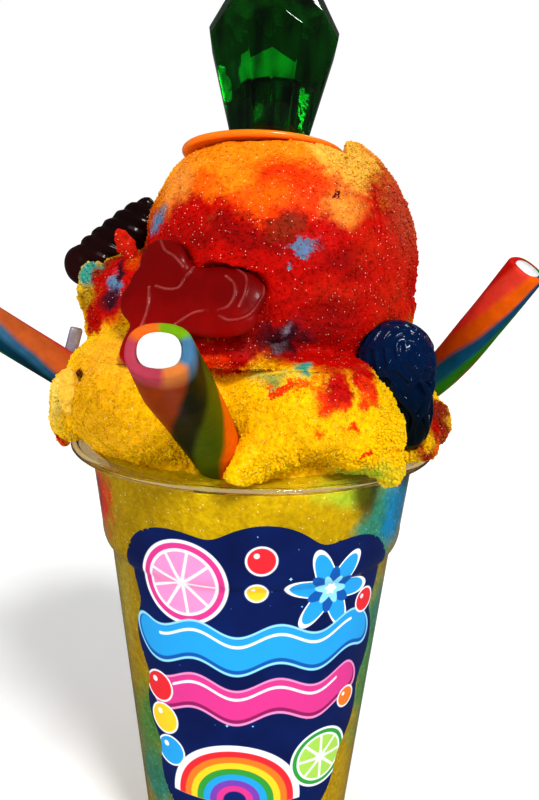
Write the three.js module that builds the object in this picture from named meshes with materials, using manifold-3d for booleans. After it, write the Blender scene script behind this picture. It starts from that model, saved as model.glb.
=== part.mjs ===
// A tall clear plastic cup heaped with coloured italian ice. A round scoop of red and orange ice sits
// on a crumbly yellow mound that leans over the rim. Three rainbow candy ropes stick out of the mound,
// three gummy candies lie on the ice, and a green candy gem on an orange plastic base crowns it.
// Millimetres, +Z up. The origin is the centre of the cup's flat base. The front of the cup looks to -Y.

import * as THREE from 'three';
import { mergeVertices } from 'three/addons/utils/BufferGeometryUtils.js';
import { ConvexGeometry } from 'three/addons/geometries/ConvexGeometry.js';
import { ImprovedNoise } from 'three/addons/math/ImprovedNoise.js';
import Module from 'manifold-3d';

const wasm = await Module();
wasm.setup();

// ---------------------------------------------------------------- driving dimensions

const GAP = 0.4;

// How far a surface may move when its faces are thinned out.
const THINNING = { cut: 0.05, ice: 0.6 };

const CUP = {
  height: 125,
  rimRadius: 49,
  baseRadius: 27.5,
  wall: 0.8,
  floor: 1.2,
  footRound: 1.2,
  stepHeight: 96.5,
  stepRadius: 38.6,
  collarHeight: 102.3,
  collarRadius: 40.97,
  neckHeight: 121,
  neckRadius: 43.3,
  flange: 0.9,
  beadRadius: 0.9,
  sides: 36,
};

const SCOOP = { centre: [6.1, 0, 172.2], radius: 35.5 };

// The scoop sits in a shallow dish in the mound: the dish's lowest height, and its rise out to its edge.
const DISH = { bottom: 147, rise: 11, radius: 75, sides: 24 };

const DISC = { centre: [1.2, 0, 198.2], radius: 20.8, thickness: 1.7, tiltBack: 12.5, leanRight: 1.6 };
const POST = { radius: 6.6, height: 17, offset: [2.4, -1], fins: 4, finWidth: 4.2 };

// Radius of the gem at each height above its seat, and the turn of each ring in half sides.
const GEM = {
  sides: 8,
  offset: [1.2, -1],
  rings: [
    { height: 0, radius: 9.7, turn: 0 },
    { height: 26.3, radius: 17.2, turn: 0 },
    { height: 30.6, radius: 16.6, turn: 1 },
    { height: 36.6, radius: 13, turn: 0 },
    { height: 42.6, radius: 9.4, turn: 1 },
  ],
};

const ROPE = { wide: 11.6, narrow: 9.8, fillingRatio: 0.58, sides: 10, steps: 8 };

// Each rope starts deep in the ice and ends at its cut face in the open.
const ROPES = {
  front: [[-2, -17, 104], [-5.6, -30.6, 122.4], [-11.6, -52, 141], [-14.5, -73, 153], [-15.8, -93, 163.2]],
  left: [[-24, 3, 119], [-34, 2, 128.5], [-46, 0, 138.5], [-64, -4, 151], [-82, -8, 163.5]],
  right: [[25.5, 9.5, 118], [36.6, 8.5, 130], [50.5, 5, 141.5], [60, -3, 157], [68.4, -10, 172]],
};

// How much wider a rope is at each of its points.
const ROPE_SWELL = {
  front: [1, 1, 1.15, 1.17, 1],
  left: [1, 1, 1, 1, 1],
  right: [1, 1, 1, 1, 1],
};

// Lumps of ice, each with its centre, its three radii and the fineness of its faceting.
const LUMPS = [
  { name: 'dome', centre: [0, 2, 125], radii: [44.5, 42, 28], detail: 3 },
  { name: 'left lobe', centre: [-23.2, -15.5, 140], radii: [24.5, 27, 18.5], detail: 4 },
  { name: 'left knob', centre: [-48.6, -9, 136], radii: [4.6, 6.5, 8], detail: 2 },
  { name: 'left bulge', centre: [-45, -10, 131.5], radii: [8, 9.5, 7], detail: 2 },
  { name: 'left drip', centre: [-49.6, -7, 125.4], radii: [2.6, 3.5, 4.2], detail: 1 },
  { name: 'tongue', centre: [12.5, -27.5, 139.5], radii: [22, 19.5, 13.5], detail: 4 },
  { name: 'tongue left root', centre: [3.5, -37.5, 134.5], radii: [10, 9.5, 10.5], detail: 2 },
  { name: 'tongue left tip', centre: [-1.2, -43.8, 129.6], radii: [5.6, 5.5, 8], turn: [-18, 22, 0], detail: 2 },
  { name: 'tongue right tip', centre: [25, -35.5, 134], radii: [10.5, 8.5, 9.5], turn: [-15, -25, 0], detail: 3 },
  { name: 'tongue right drip', centre: [30.5, -39.5, 128.5], radii: [4.4, 4.5, 5], detail: 2 },
  { name: 'right lump', centre: [41, -8, 131], radii: [10.5, 13, 8.5], detail: 2 },
  { name: 'right skirt', centre: [36.5, -20, 128.8], radii: [9.5, 11, 6], detail: 2 },
  { name: 'right bump', centre: [46.6, -3, 134.5], radii: [4, 5, 5.5], detail: 2 },
  { name: 'back right lump', centre: [22, 21, 137], radii: [25, 22, 14], detail: 2 },
  { name: 'back left lump', centre: [-19, 24, 138.5], radii: [25, 21, 16], detail: 2 },
  { name: 'left shoulder', centre: [-30.5, 0, 156.5], radii: [14.5, 18, 18], detail: 3 },
  { name: 'flank lump', centre: [-42, -2, 163.6], radii: [4.8, 6.5, 7.6], detail: 2 },
  { name: 'front skirt', centre: [-9, -21.5, 151.5], radii: [21, 13, 8], detail: 3 },
  { name: 'ball', centre: SCOOP.centre, radii: [SCOOP.radius, SCOOP.radius, SCOOP.radius], detail: 5 },
  { name: 'skirt', centre: [7.4, 0, 160], radii: [34.4, 34, 17], detail: 3 },
  { name: 'ridge', centre: [22.6, -2, 194.6], radii: [5.5, 8, 5.4], detail: 2 },
];

// Each gummy is a few lobes of soft candy run together.
// Blue gummy: a round crown on a narrower foot.
const BLUE_GUMMY = [
  { centre: [34, -25, 149.4], radii: [9.6, 8.2, 10.4], detail: 3 },
  { centre: [36.6, -26.5, 140.5], radii: [6.2, 6.6, 9], detail: 2 },
  { centre: [37.4, -28.5, 134.2], radii: [4.6, 4.6, 5.2], detail: 1 },
];

// Red gummy: a flat lobed sheet of candy that leans on the scoop's left flank, with a drip at its corner.
// Its lobes are tilted back with the sheet and then turned in its plane.
const RED_GUMMY = [
  { centre: [-21.6, -26.4, 172.4], radii: [7.9, 3.2, 6.4], turn: [-15.7, 10, -34.8], detail: 2 },
  { centre: [-25.4, -30.8, 163.8], radii: [6.9, 3.2, 6.6], turn: [-30.8, 0, -14], detail: 2 },
  { centre: [-6.7, -33.8, 166.5], radii: [10.2, 3.2, 7.4], turn: [-30.8, 8, -14], detail: 2 },
  { centre: [-15.8, -33.6, 163.2], radii: [11.6, 3.4, 7.2], turn: [-30.8, -8, -14], detail: 2 },
  { centre: [-9, -36.4, 161.2], radii: [10.6, 3, 5.4], turn: [-30.8, 0, -14], detail: 2 },
  { centre: [-26.8, -35, 155.6], radii: [3.6, 2.8, 7.4], turn: [-30.8, 20, -14], detail: 1 },
].map((lobe) => ({ ...lobe, order: 'ZXY' }));

// Dark gummy: a long body with a row of round bumps along its back.
const DARK_GUMMY = [
  { centre: [-37.4, 6, 173.6], radii: [15.6, 8, 8], turn: [0, -38, 0], detail: 2 },
  { centre: [-46.6, 5, 168.6], radii: [5, 6, 5.6], turn: [0, -20, 0], detail: 1 },
  { centre: [-42.4, 5, 174.2], radii: [5, 6.4, 4.6], turn: [0, -38, 0], detail: 1 },
  { centre: [-36.4, 5, 178.8], radii: [5, 6.6, 4.6], turn: [0, -38, 0], detail: 1 },
  { centre: [-30.2, 6, 182.8], radii: [5, 6.2, 4.6], turn: [0, -38, 0], detail: 1 },
];

const LABEL = { thickness: 0.25, reference: 37 };

// Round lobes of the sticker's die-cut outline: distance round the wall, height and radius.
const LABEL_LOBES = [
  [-18, 97, 15], [3, 101, 14], [24, 95, 14.5], [-21, 77, 13.5], [27, 74, 13.5], [-20, 57, 13],
  [24, 55, 13.5], [-16, 38, 14], [17, 38, 14], [0, 33, 13], [2, 82, 19], [-6, 60, 18], [9, 60, 18],
];

const ICE_ROUGHNESS = { coarse: 1.1, coarseLength: 12, fine: 0.6, fineLength: 5 };

// ---------------------------------------------------------------- helpers

const noise = new ImprovedNoise();

// Only the shape of a geometry, with its shared vertices merged.
function bareShape(geometry) {
  geometry.deleteAttribute('normal');
  geometry.deleteAttribute('uv');
  return mergeVertices(geometry, 1e-4);
}

// A watertight solid from a closed geometry.
function solidOf(geometry) {
  const merged = bareShape(geometry.clone());
  const triangles = merged.index ? merged.index.array : [...Array(merged.attributes.position.count).keys()];
  return new wasm.Manifold(new wasm.Mesh({
    numProp: 3,
    vertProperties: new Float32Array(merged.attributes.position.array),
    triVerts: new Uint32Array(triangles),
  }));
}

// A geometry from the largest body of a solid, so that no loose crumb is left behind.
function geometryOf(solid) {
  const bodies = solid.decompose().sort((a, b) => b.volume() - a.volume());
  const mesh = bodies[0].simplify(THINNING.cut).getMesh();
  const geometry = new THREE.BufferGeometry();
  geometry.setAttribute('position', new THREE.BufferAttribute(new Float32Array(mesh.vertProperties), 3));
  geometry.setIndex(new THREE.BufferAttribute(new Uint32Array(mesh.triVerts), 1));
  geometry.computeVertexNormals();
  return geometry;
}

function unionOf(solids) {
  return solids.reduce((sum, solid) => sum.add(solid));
}

function lathe(points, sides) {
  const geometry = new THREE.LatheGeometry(points.map(([r, z]) => new THREE.Vector2(r, z)), sides);
  geometry.rotateX(Math.PI / 2);
  return geometry;
}

// Ice relief at a point: broad lumps with finer crumbs on them.
function iceRelief(point) {
  const { coarse, coarseLength, fine, fineLength } = ICE_ROUGHNESS;
  const a = point.clone().divideScalar(coarseLength);
  const b = point.clone().divideScalar(fineLength);
  return coarse * noise.noise(a.x, a.y, a.z) + fine * noise.noise(b.x + 9, b.y + 5, b.z + 2);
}

// An ellipsoid lump, grown all over by "extra" and roughened by "relief" (a function of place).
function lump({ centre, radii, detail, turn = [0, 0, 0], order = 'XYZ' }, relief, extra = 0) {
  const geometry = bareShape(new THREE.IcosahedronGeometry(1, detail));
  const position = geometry.attributes.position;
  const angles = new THREE.Euler(...turn.map(THREE.MathUtils.degToRad), order);
  const spin = new THREE.Quaternion().setFromEuler(angles);
  const middle = new THREE.Vector3(...centre);
  for (let i = 0; i < position.count; i += 1) {
    const unit = new THREE.Vector3().fromBufferAttribute(position, i).normalize();
    const normal = new THREE.Vector3(unit.x / radii[0], unit.y / radii[1], unit.z / radii[2]).normalize();
    const point = unit.clone().multiply(new THREE.Vector3(...radii)).applyQuaternion(spin).add(middle);
    normal.applyQuaternion(spin);
    point.addScaledVector(normal, relief(point, unit) + extra);
    position.setXYZ(i, point.x, point.y, point.z);
  }
  return solidOf(geometry);
}

const smooth = () => 0;

// ---------------------------------------------------------------- cup

// The wall's line from foot to rim, moved towards the axis by "inset".
function wallLine(inset) {
  const points = [];
  const drop = CUP.collarHeight - CUP.stepHeight;
  const reach = CUP.collarRadius - CUP.stepRadius;
  const arcSteps = 3;
  points.push([CUP.stepRadius - inset, CUP.stepHeight]);
  for (let i = arcSteps - 1; i >= 0; i -= 1) {
    const t = (i / arcSteps) * Math.PI / 2;
    points.push([CUP.collarRadius - inset - reach * (1 - Math.cos(t)), CUP.collarHeight - drop * Math.sin(t)]);
  }
  points.push([CUP.neckRadius - inset, CUP.neckHeight]);
  return points;
}

function footRadius(height, inset) {
  const taper = (CUP.stepRadius - CUP.baseRadius) / CUP.stepHeight;
  return CUP.baseRadius + taper * height - inset;
}

// The bead that finishes the rim's edge, as an arc from its lower side round to its top.
function bead(grow) {
  const radius = CUP.beadRadius + grow;
  const centreRadius = CUP.rimRadius - CUP.beadRadius;
  const centreHeight = CUP.height - CUP.beadRadius;
  const points = [];
  for (let degrees = -150; degrees <= 150; degrees += 60) {
    const t = THREE.MathUtils.degToRad(degrees);
    points.push([centreRadius + radius * Math.cos(t), centreHeight + radius * Math.sin(t)]);
  }
  return points;
}

const flangeTop = CUP.height - 0.6;
const flangeUnder = flangeTop - CUP.flange;

function cupGeometry() {
  const { floor, wall, footRound } = CUP;
  return lathe([
    [0, 0],
    [CUP.baseRadius - footRound, 0],
    [footRadius(footRound, 0), footRound],
    ...wallLine(0),
    [CUP.neckRadius + 0.9, flangeUnder],
    ...bead(0),
    [CUP.neckRadius + 0.7, flangeTop],
    [CUP.neckRadius - wall + 0.3, flangeTop - 0.5],
    ...wallLine(wall).reverse(),
    [footRadius(floor + footRound, wall), floor + footRound],
    [CUP.baseRadius - footRound - wall, floor],
    [0, floor],
  ], CUP.sides);
}

// The room that the cup takes up, with a gap all round: ice above it stays clear of rim and wall.
function cupEnvelope() {
  const beadUnder = CUP.height - 2 * CUP.beadRadius;
  const chamfer = 0.5;
  return solidOf(lathe([
    [0, -1],
    [CUP.baseRadius + 2, -1],
    ...wallLine(-GAP - 0.2),
    [CUP.neckRadius + 0.9, flangeUnder - GAP],
    [CUP.rimRadius - 2, beadUnder - GAP],
    [CUP.rimRadius - chamfer, beadUnder - GAP],
    [CUP.rimRadius + GAP, beadUnder - GAP + chamfer],
    [CUP.rimRadius + GAP, CUP.height + GAP - chamfer],
    [CUP.rimRadius - chamfer, CUP.height + GAP],
    [0, CUP.height + GAP],
  ], CUP.sides));
}

// The ice that fills the cup, moulded to its inside.
function cupFill() {
  const inset = CUP.wall + GAP;
  const foot = CUP.floor + GAP;
  const line = wallLine(inset).map(([r, z]) => [r, z + (z < CUP.neckHeight ? GAP : 0)]);
  return solidOf(lathe([
    [0, foot],
    [CUP.baseRadius - CUP.footRound - inset - 0.4, foot],
    [footRadius(foot + CUP.footRound, inset), foot + CUP.footRound],
    ...line,
    [CUP.neckRadius - inset - 2.5, CUP.height - 0.5],
    [CUP.neckRadius - inset - 6, CUP.height + 2],
    [0, CUP.height + 3],
  ], CUP.sides));
}

// ---------------------------------------------------------------- label

// A solid wedge that widens from the axis outwards through a round lobe drawn on the wall.
function labelWedge([along, height, radius]) {
  const shape = new THREE.Shape();
  shape.absarc(along, height, radius, 0, 2 * Math.PI);
  const geometry = new THREE.ExtrudeGeometry(shape, { depth: 1, bevelEnabled: false, curveSegments: 5 });
  const position = geometry.attributes.position;
  for (let i = 0; i < position.count; i += 1) {
    const angle = position.getX(i) / LABEL.reference;
    const distance = position.getZ(i) > 0.5 ? 160 : 8;
    position.setXYZ(i, distance * Math.sin(angle), -distance * Math.cos(angle), position.getY(i));
  }
  return solidOf(geometry);
}

function labelGeometry() {
  const near = -GAP;
  const far = -GAP - LABEL.thickness;
  const line = (inset) => [[footRadius(8, inset), 8], ...wallLine(inset)];
  const shell = solidOf(lathe([...line(far), ...line(near).reverse(), line(far)[0]], CUP.sides));
  return geometryOf(shell.intersect(unionOf(LABEL_LOBES.map(labelWedge))));
}

// ---------------------------------------------------------------- candy ropes

function ovalShape(wide, narrow, hole) {
  const shape = new THREE.Shape();
  shape.absellipse(0, 0, narrow / 2, wide / 2, 0, 2 * Math.PI);
  if (hole > 0) {
    const inner = new THREE.Path();
    inner.absellipse(0, 0, narrow / 2 * hole, wide / 2 * hole, 0, 2 * Math.PI, true);
    shape.holes.push(inner);
  }
  return shape;
}

// The swell at a share of the way along a rope, from the values at its points.
function swellAt(swell, share) {
  const step = share * (swell.length - 1);
  const index = Math.min(Math.floor(step), swell.length - 2);
  return THREE.MathUtils.lerp(swell[index], swell[index + 1], step - index);
}

function ropeTube(points, swell, grow, scale, hole) {
  const path = new THREE.CatmullRomCurve3(points.map((p) => new THREE.Vector3(...p)));
  const shape = ovalShape(ROPE.wide * scale + grow, ROPE.narrow * scale + grow, hole);
  const settings = { steps: ROPE.steps, extrudePath: path, curveSegments: ROPE.sides / 2 };
  const geometry = new THREE.ExtrudeGeometry(shape, settings);
  const middles = path.getSpacedPoints(ROPE.steps);
  const position = geometry.attributes.position;
  for (let i = 0; i < position.count; i += 1) {
    const point = new THREE.Vector3().fromBufferAttribute(position, i);
    const distances = middles.map((middle) => middle.distanceTo(point));
    const nearest = distances.indexOf(Math.min(...distances));
    const middle = middles[nearest];
    point.sub(middle).multiplyScalar(swellAt(swell, path.getUtoTmapping(nearest / ROPE.steps))).add(middle);
    position.setXYZ(i, point.x, point.y, point.z);
  }
  return geometry;
}

// The hole that a rope makes in the ice: a little wider, and a little deeper than the rope's end.
function ropeHole(side) {
  const points = ROPES[side];
  const [start, next] = points.map((p) => new THREE.Vector3(...p));
  const back = start.clone().sub(next).setLength(2 * GAP).add(start);
  return solidOf(ropeTube([back.toArray(), ...points.slice(1)], ROPE_SWELL[side], 2 * GAP + 0.2, 1, 0));
}

// ---------------------------------------------------------------- gem and its plastic base

function gemFrame(object) {
  object.position.set(...DISC.centre);
  object.rotation.set(
    THREE.MathUtils.degToRad(-DISC.tiltBack),
    THREE.MathUtils.degToRad(DISC.leanRight),
    0,
  );
  object.updateMatrixWorld(true);
  return object;
}

function discSolid(grow) {
  const half = DISC.thickness / 2 + grow;
  const round = 0.5;
  return solidOf(lathe([
    [0, -half],
    [DISC.radius + grow - round, -half],
    [DISC.radius + grow, -half + round],
    [DISC.radius + grow, half - round],
    [DISC.radius + grow - round, half],
    [0, half],
  ], 40));
}

// The ribbed peg that the gem is cast round.
function postSolid(grow) {
  const parts = [];
  for (let i = 0; i < POST.fins; i += 1) {
    const width = POST.finWidth + 2 * grow;
    const fin = new THREE.BoxGeometry(2 * (POST.radius + grow), width, POST.height + grow);
    fin.rotateZ(i * Math.PI / POST.fins + 0.2);
    fin.translate(POST.offset[0], POST.offset[1], (POST.height + grow) / 2);
    parts.push(solidOf(fin));
  }
  return unionOf(parts);
}

function gemSolid() {
  const points = [];
  GEM.rings.forEach(({ height, radius, turn }) => {
    for (let i = 0; i < GEM.sides; i += 1) {
      const angle = (2 * Math.PI * (i + 0.5 + turn / 2)) / GEM.sides;
      const x = GEM.offset[0] + radius * Math.cos(angle);
      const y = GEM.offset[1] + radius * Math.sin(angle);
      points.push(new THREE.Vector3(x, y, DISC.thickness / 2 + GAP + height));
    }
  });
  return solidOf(new ConvexGeometry(points));
}

// ---------------------------------------------------------------- gummies

// Ridges that run down from the blue gummy's crown.
function crownRidges(point, unit) {
  const angle = Math.atan2(unit.y, unit.x);
  return 0.45 * Math.cos(9 * angle) * Math.sqrt(Math.max(0, 1 - unit.z * unit.z));
}

function gummy(lobes, relief, extra = 0) {
  return unionOf(lobes.map((lobe) => lump(lobe, relief, extra)));
}

// ---------------------------------------------------------------- ice

const redGummy = gummy(RED_GUMMY, smooth);
const blueGummy = gummy(BLUE_GUMMY, crownRidges);
const darkGummy = gummy(DARK_GUMMY, smooth);
const candyRoom = unionOf([
  gummy(RED_GUMMY, smooth, GAP),
  gummy(BLUE_GUMMY, crownRidges, GAP),
  gummy(DARK_GUMMY, smooth, GAP),
  ...Object.keys(ROPES).map(ropeHole),
]);

// The disc is pressed into the top of the scoop: nothing of the ball is left above it.
function discRoom() {
  const frame = gemFrame(new THREE.Object3D());
  const press = lathe([
    [0, -DISC.thickness / 2 - GAP],
    [DISC.radius + GAP, -DISC.thickness / 2 - GAP],
    [DISC.radius + 16, 14],
    [0, 14],
  ], 40);
  press.applyMatrix4(frame.matrixWorld);
  return solidOf(press);
}

// The room above the dish that parts the scoop from the mound, lowered by "drop".
function aboveDish(drop) {
  const top = CUP.height * 2;
  return solidOf(lathe([
    [0, DISH.bottom - drop],
    [DISH.radius, DISH.bottom + DISH.rise - drop],
    [DISH.radius, top],
    [0, top],
  ], DISH.sides));
}

const heap = unionOf(LUMPS.map((item) => lump(item, iceRelief))).simplify(THINNING.ice);
const topScoop = heap.intersect(aboveDish(0)).subtract(discRoom()).subtract(candyRoom);
const mound = heap.subtract(aboveDish(GAP)).subtract(cupEnvelope());
const lowerIce = mound.add(cupFill()).subtract(candyRoom);

// ---------------------------------------------------------------- materials

function finish(color, roughness, metalness = 0) {
  return new THREE.MeshStandardMaterial({ color, roughness, metalness });
}

const clearPlastic = new THREE.MeshStandardMaterial({
  color: 0xe8eef0,
  roughness: 0.08,
  metalness: 0,
  transparent: true,
  opacity: 0.35,
});

// ---------------------------------------------------------------- assembly

const cupOfIce = new THREE.Group();
cupOfIce.name = 'cup_of_italian_ice';

function place(name, geometry, material, parent = cupOfIce) {
  const mesh = new THREE.Mesh(geometry, material);
  mesh.name = name;
  parent.add(mesh);
  return mesh;
}

place('cup', cupGeometry(), clearPlastic);
place('label', labelGeometry(), finish(0x0a2f73, 0.35));
place('lower_ice', geometryOf(lowerIce), finish(0xf2c313, 0.55));
place('top_scoop', geometryOf(topScoop), finish(0xd92a08, 0.55));
place('red_gummy', geometryOf(redGummy), finish(0x9c0612, 0.18));
place('blue_gummy', geometryOf(blueGummy), finish(0x06284a, 0.18));
place('dark_gummy', geometryOf(darkGummy), finish(0x160306, 0.16));

Object.entries(ROPES).forEach(([side, points]) => {
  const hole = ROPE.fillingRatio + 2 * GAP / ROPE.narrow;
  const swell = ROPE_SWELL[side];
  place(`rope_${side}`, ropeTube(points, swell, 0, 1, hole), finish(0xd9641e, 0.4));
  place(`rope_${side}_filling`, ropeTube(points, swell, 0, ROPE.fillingRatio, 0), finish(0xf6f2ee, 0.5));
});

const crown = gemFrame(new THREE.Group());
cupOfIce.add(crown);
place('gem_base', geometryOf(discSolid(0).add(postSolid(0))), finish(0xef6a08, 0.3), crown);
place('gem', geometryOf(gemSolid().subtract(postSolid(GAP))), finish(0x0a6a1c, 0.06), crown);

export default cupOfIce;
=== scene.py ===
# %% [markdown]
# # A cup of italian ice
# A tall clear plastic cup is packed with coloured italian ice and heaped far over its rim. A ball of
# cherry and orange ice sits on a mound of lemon ice, with striped candy ropes, gummy sweets and a green
# candy gem pushed into it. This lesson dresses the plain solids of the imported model: each step takes
# one piece of the real dessert, says what it is, and makes it in the way that suits it best.

# %% Load the frame
import math
import random

import bpy
from mathutils import Matrix, Vector
from mathutils.bvhtree import BVHTree


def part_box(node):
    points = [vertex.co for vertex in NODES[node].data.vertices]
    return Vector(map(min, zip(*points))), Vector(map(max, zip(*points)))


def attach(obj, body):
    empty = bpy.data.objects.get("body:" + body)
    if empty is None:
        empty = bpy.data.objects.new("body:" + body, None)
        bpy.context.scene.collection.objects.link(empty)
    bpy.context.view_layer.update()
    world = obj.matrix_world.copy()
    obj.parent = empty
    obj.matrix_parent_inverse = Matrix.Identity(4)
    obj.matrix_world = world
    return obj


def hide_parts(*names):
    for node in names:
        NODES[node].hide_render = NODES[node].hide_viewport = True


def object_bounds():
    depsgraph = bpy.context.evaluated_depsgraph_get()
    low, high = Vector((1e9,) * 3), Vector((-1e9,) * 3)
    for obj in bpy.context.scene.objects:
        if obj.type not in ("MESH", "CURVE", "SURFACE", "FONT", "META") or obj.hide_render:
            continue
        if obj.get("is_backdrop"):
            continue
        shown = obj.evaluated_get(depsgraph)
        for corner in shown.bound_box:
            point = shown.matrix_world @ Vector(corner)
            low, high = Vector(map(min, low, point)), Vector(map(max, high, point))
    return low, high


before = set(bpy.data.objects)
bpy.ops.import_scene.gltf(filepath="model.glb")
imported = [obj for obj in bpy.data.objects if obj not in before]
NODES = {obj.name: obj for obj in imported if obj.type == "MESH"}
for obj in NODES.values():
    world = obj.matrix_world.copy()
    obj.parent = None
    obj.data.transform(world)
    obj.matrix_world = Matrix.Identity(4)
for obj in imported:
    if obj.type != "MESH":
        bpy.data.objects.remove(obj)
cad_box = [list(corner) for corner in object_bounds()]
MM = 0.001
print("the frame holds", len(NODES), "solids in", cad_box)

# %% [markdown]
# ## The camera
# The camera comes first, because many colour patches are placed by looking through it. It was fitted to
# the ellipse of the cup's rim, so it stands a little above the heap, close by, and leans slightly. Its
# focal length is given in pixels of a picture 539 wide and 800 high, and Blender wants it in
# millimetres of a 36 mm sensor that spans the picture's long side.

# %% Camera
PICTURE_WIDTH = 539
PICTURE_HEIGHT = 800
FOCAL_PIXELS = 907.67
SENSOR = 36
CAMERA_PLACE = Vector((0, -240, 188.14)) * MM
PITCH = math.radians(12.63)
YAW = math.radians(0.99)
ROLL = math.radians(1.35)

forward = Vector((math.sin(YAW) * math.cos(PITCH), math.cos(YAW) * math.cos(PITCH), -math.sin(PITCH)))
level = Vector((math.cos(YAW), -math.sin(YAW), 0))
upright = level.cross(forward)
right = level * math.cos(ROLL) + upright * math.sin(ROLL)
up = upright * math.cos(ROLL) - level * math.sin(ROLL)

bpy.ops.object.camera_add()
camera = bpy.context.object
camera.name = "picture_camera"
camera.data.lens = SENSOR * FOCAL_PIXELS / PICTURE_HEIGHT
camera.data.sensor_width = SENSOR
camera.data.clip_start = 0.01
turn = Matrix((right, up, -forward)).transposed()
camera.matrix_world = Matrix.Translation(CAMERA_PLACE) @ turn.to_4x4()
bpy.context.scene.camera = camera
print("lens", round(camera.data.lens, 2), "mm")


# %% Looking through a pixel
PIXEL_STEP = 1.5


def sight_line(pixel):
    """The direction from the camera through a pixel of the picture."""
    x, y = pixel
    across = x - PICTURE_WIDTH / 2
    down = y - PICTURE_HEIGHT / 2
    return (forward * FOCAL_PIXELS + right * across - up * down).normalized()


def seen_on(pieces, pixel):
    """The nearest place on any of the pieces that the camera sees at a pixel."""
    hits = []
    for piece in pieces:
        found, place = piece.ray_cast(CAMERA_PLACE, sight_line(pixel))[:2]
        if found:
            hits.append(place.copy())
    return min(hits, key=lambda place: (place - CAMERA_PLACE).length) if hits else None


def nearest_seen(pieces, pixel):
    """The place seen at a pixel, or at the first one towards the picture's middle that shows a piece."""
    x, y = pixel
    place = seen_on(pieces, (x, y))
    while place is None:
        x += PIXEL_STEP if x < PICTURE_WIDTH / 2 else -PIXEL_STEP
        place = seen_on(pieces, (x, y))
    return place


def pixels_to_metres(count, place):
    """How long a stretch of pixels is at the depth of a place."""
    return count * (place - CAMERA_PLACE).dot(forward) / FOCAL_PIXELS


# %% [markdown]
# ## Small helpers
# Blender's operators act on whatever is selected, so each step starts from a clean selection. Modifiers
# are applied as soon as a piece is shaped, so what is seen is the mesh itself.

# %% Selecting and applying
def deselect():
    bpy.ops.object.select_all(action="DESELECT")


def only(piece):
    """Selects one piece and nothing else."""
    deselect()
    piece.select_set(True)
    bpy.context.view_layer.objects.active = piece


def apply_modifiers(piece):
    only(piece)
    for modifier in list(piece.modifiers):
        bpy.ops.object.modifier_apply(modifier=modifier.name)


def add_modifier(piece, kind, **settings):
    modifier = piece.modifiers.new(kind.title(), kind)
    for name, value in settings.items():
        setattr(modifier, name, value)
    return modifier


def soften_edges(piece, width, sharpest):
    """Rounds the edges that turn by more than an angle in degrees, by a width in millimetres."""
    limit = math.radians(sharpest)
    add_modifier(piece, "BEVEL", width=width * MM, segments=3, limit_method="ANGLE", angle_limit=limit)


def settle(piece):
    """Puts a piece's place, turn and size into its mesh."""
    only(piece)
    bpy.ops.object.transform_apply(location=True, rotation=True, scale=True)


def close_mesh(piece, close=1e-6):
    """Merges doubled points and points every face outwards."""
    only(piece)
    bpy.ops.object.mode_set(mode="EDIT")
    bpy.ops.mesh.select_all(action="SELECT")
    bpy.ops.mesh.remove_doubles(threshold=close)
    bpy.ops.mesh.normals_make_consistent(inside=False)
    bpy.ops.object.mode_set(mode="OBJECT")


def copy_of(node, name):
    """A merged copy of a solid of the frame, free to be shaped."""
    piece = bpy.data.objects.new(name, NODES[node].data.copy())
    bpy.context.scene.collection.objects.link(piece)
    piece.data.materials.clear()
    close_mesh(piece)
    return piece


def join(name, pieces):
    only(pieces[0])
    for piece in pieces:
        piece.select_set(True)
    bpy.ops.object.join()
    pieces[0].name = name
    return pieces[0]


def finish_piece(piece, materials, slot, *nodes):
    """Gives a piece its finish, hangs it under the root, and hides the solids of the frame it stands for."""
    piece.data.materials.clear()
    for material in materials if isinstance(materials, list) else [materials]:
        piece.data.materials.append(material)
    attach(piece, "root")
    if nodes:
        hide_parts(*nodes)
    print(piece.name, "has", len(piece.data.polygons), "faces")


# %% [markdown]
# ## Turned shapes
# The cup, the ice inside it and the disc under the gem are all round about an axis. Each is built as on
# a lathe: a circle is extruded ring by ring up its outline, and every ring is scaled to its radius.

# %% Turning an outline
def arc(radius, centre_r, centre_z, start, end, steps):
    """Points (r, z) along a circular arc of an outline, with the angles in degrees."""
    angles = [math.radians(start + (end - start) * i / steps) for i in range(steps + 1)]
    return [(centre_r + radius * math.cos(a), centre_z + radius * math.sin(a)) for a in angles]


def turned(name, outline, sides):
    """A closed body turned from an outline of (r, z) millimetres that starts and ends near the axis."""
    deselect()
    radius, height = outline[0]
    bpy.ops.mesh.primitive_circle_add(
        vertices=sides, radius=radius * MM, fill_type="NGON", location=(0, 0, height * MM)
    )
    piece = bpy.context.object
    piece.name = name
    settle(piece)
    bpy.ops.object.mode_set(mode="EDIT")
    bpy.ops.mesh.select_all(action="SELECT")
    bpy.ops.mesh.delete(type="ONLY_FACE")
    bpy.ops.mesh.select_all(action="SELECT")
    bpy.ops.mesh.edge_face_add()
    for next_radius, next_height in outline[1:]:
        rise = (0, 0, (next_height - height) * MM)
        bpy.ops.mesh.extrude_region_move(TRANSFORM_OT_translate={"value": rise})
        growth = next_radius / radius
        centre = (0, 0, next_height * MM)
        bpy.ops.transform.resize(value=(growth, growth, 1), center_override=centre)
        radius, height = next_radius, next_height
    bpy.ops.object.mode_set(mode="OBJECT")
    close_mesh(piece)
    return piece


# %% [markdown]
# ## Building materials from nodes
# Materials here are node trees, and a few one-line helpers keep them readable: each adds one node, sets
# its inputs to plain values or joins them to other sockets, and gives back its output.

# %% Node helpers
def wire(tree, socket, value):
    if isinstance(value, bpy.types.NodeSocket):
        tree.links.new(value, socket)
    else:
        socket.default_value = value


def node(tree, kind, inputs=None, **settings):
    made = tree.nodes.new(kind)
    for name, value in settings.items():
        setattr(made, name, value)
    for name, value in (inputs or {}).items():
        wire(tree, made.inputs[name], value)
    return made


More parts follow.
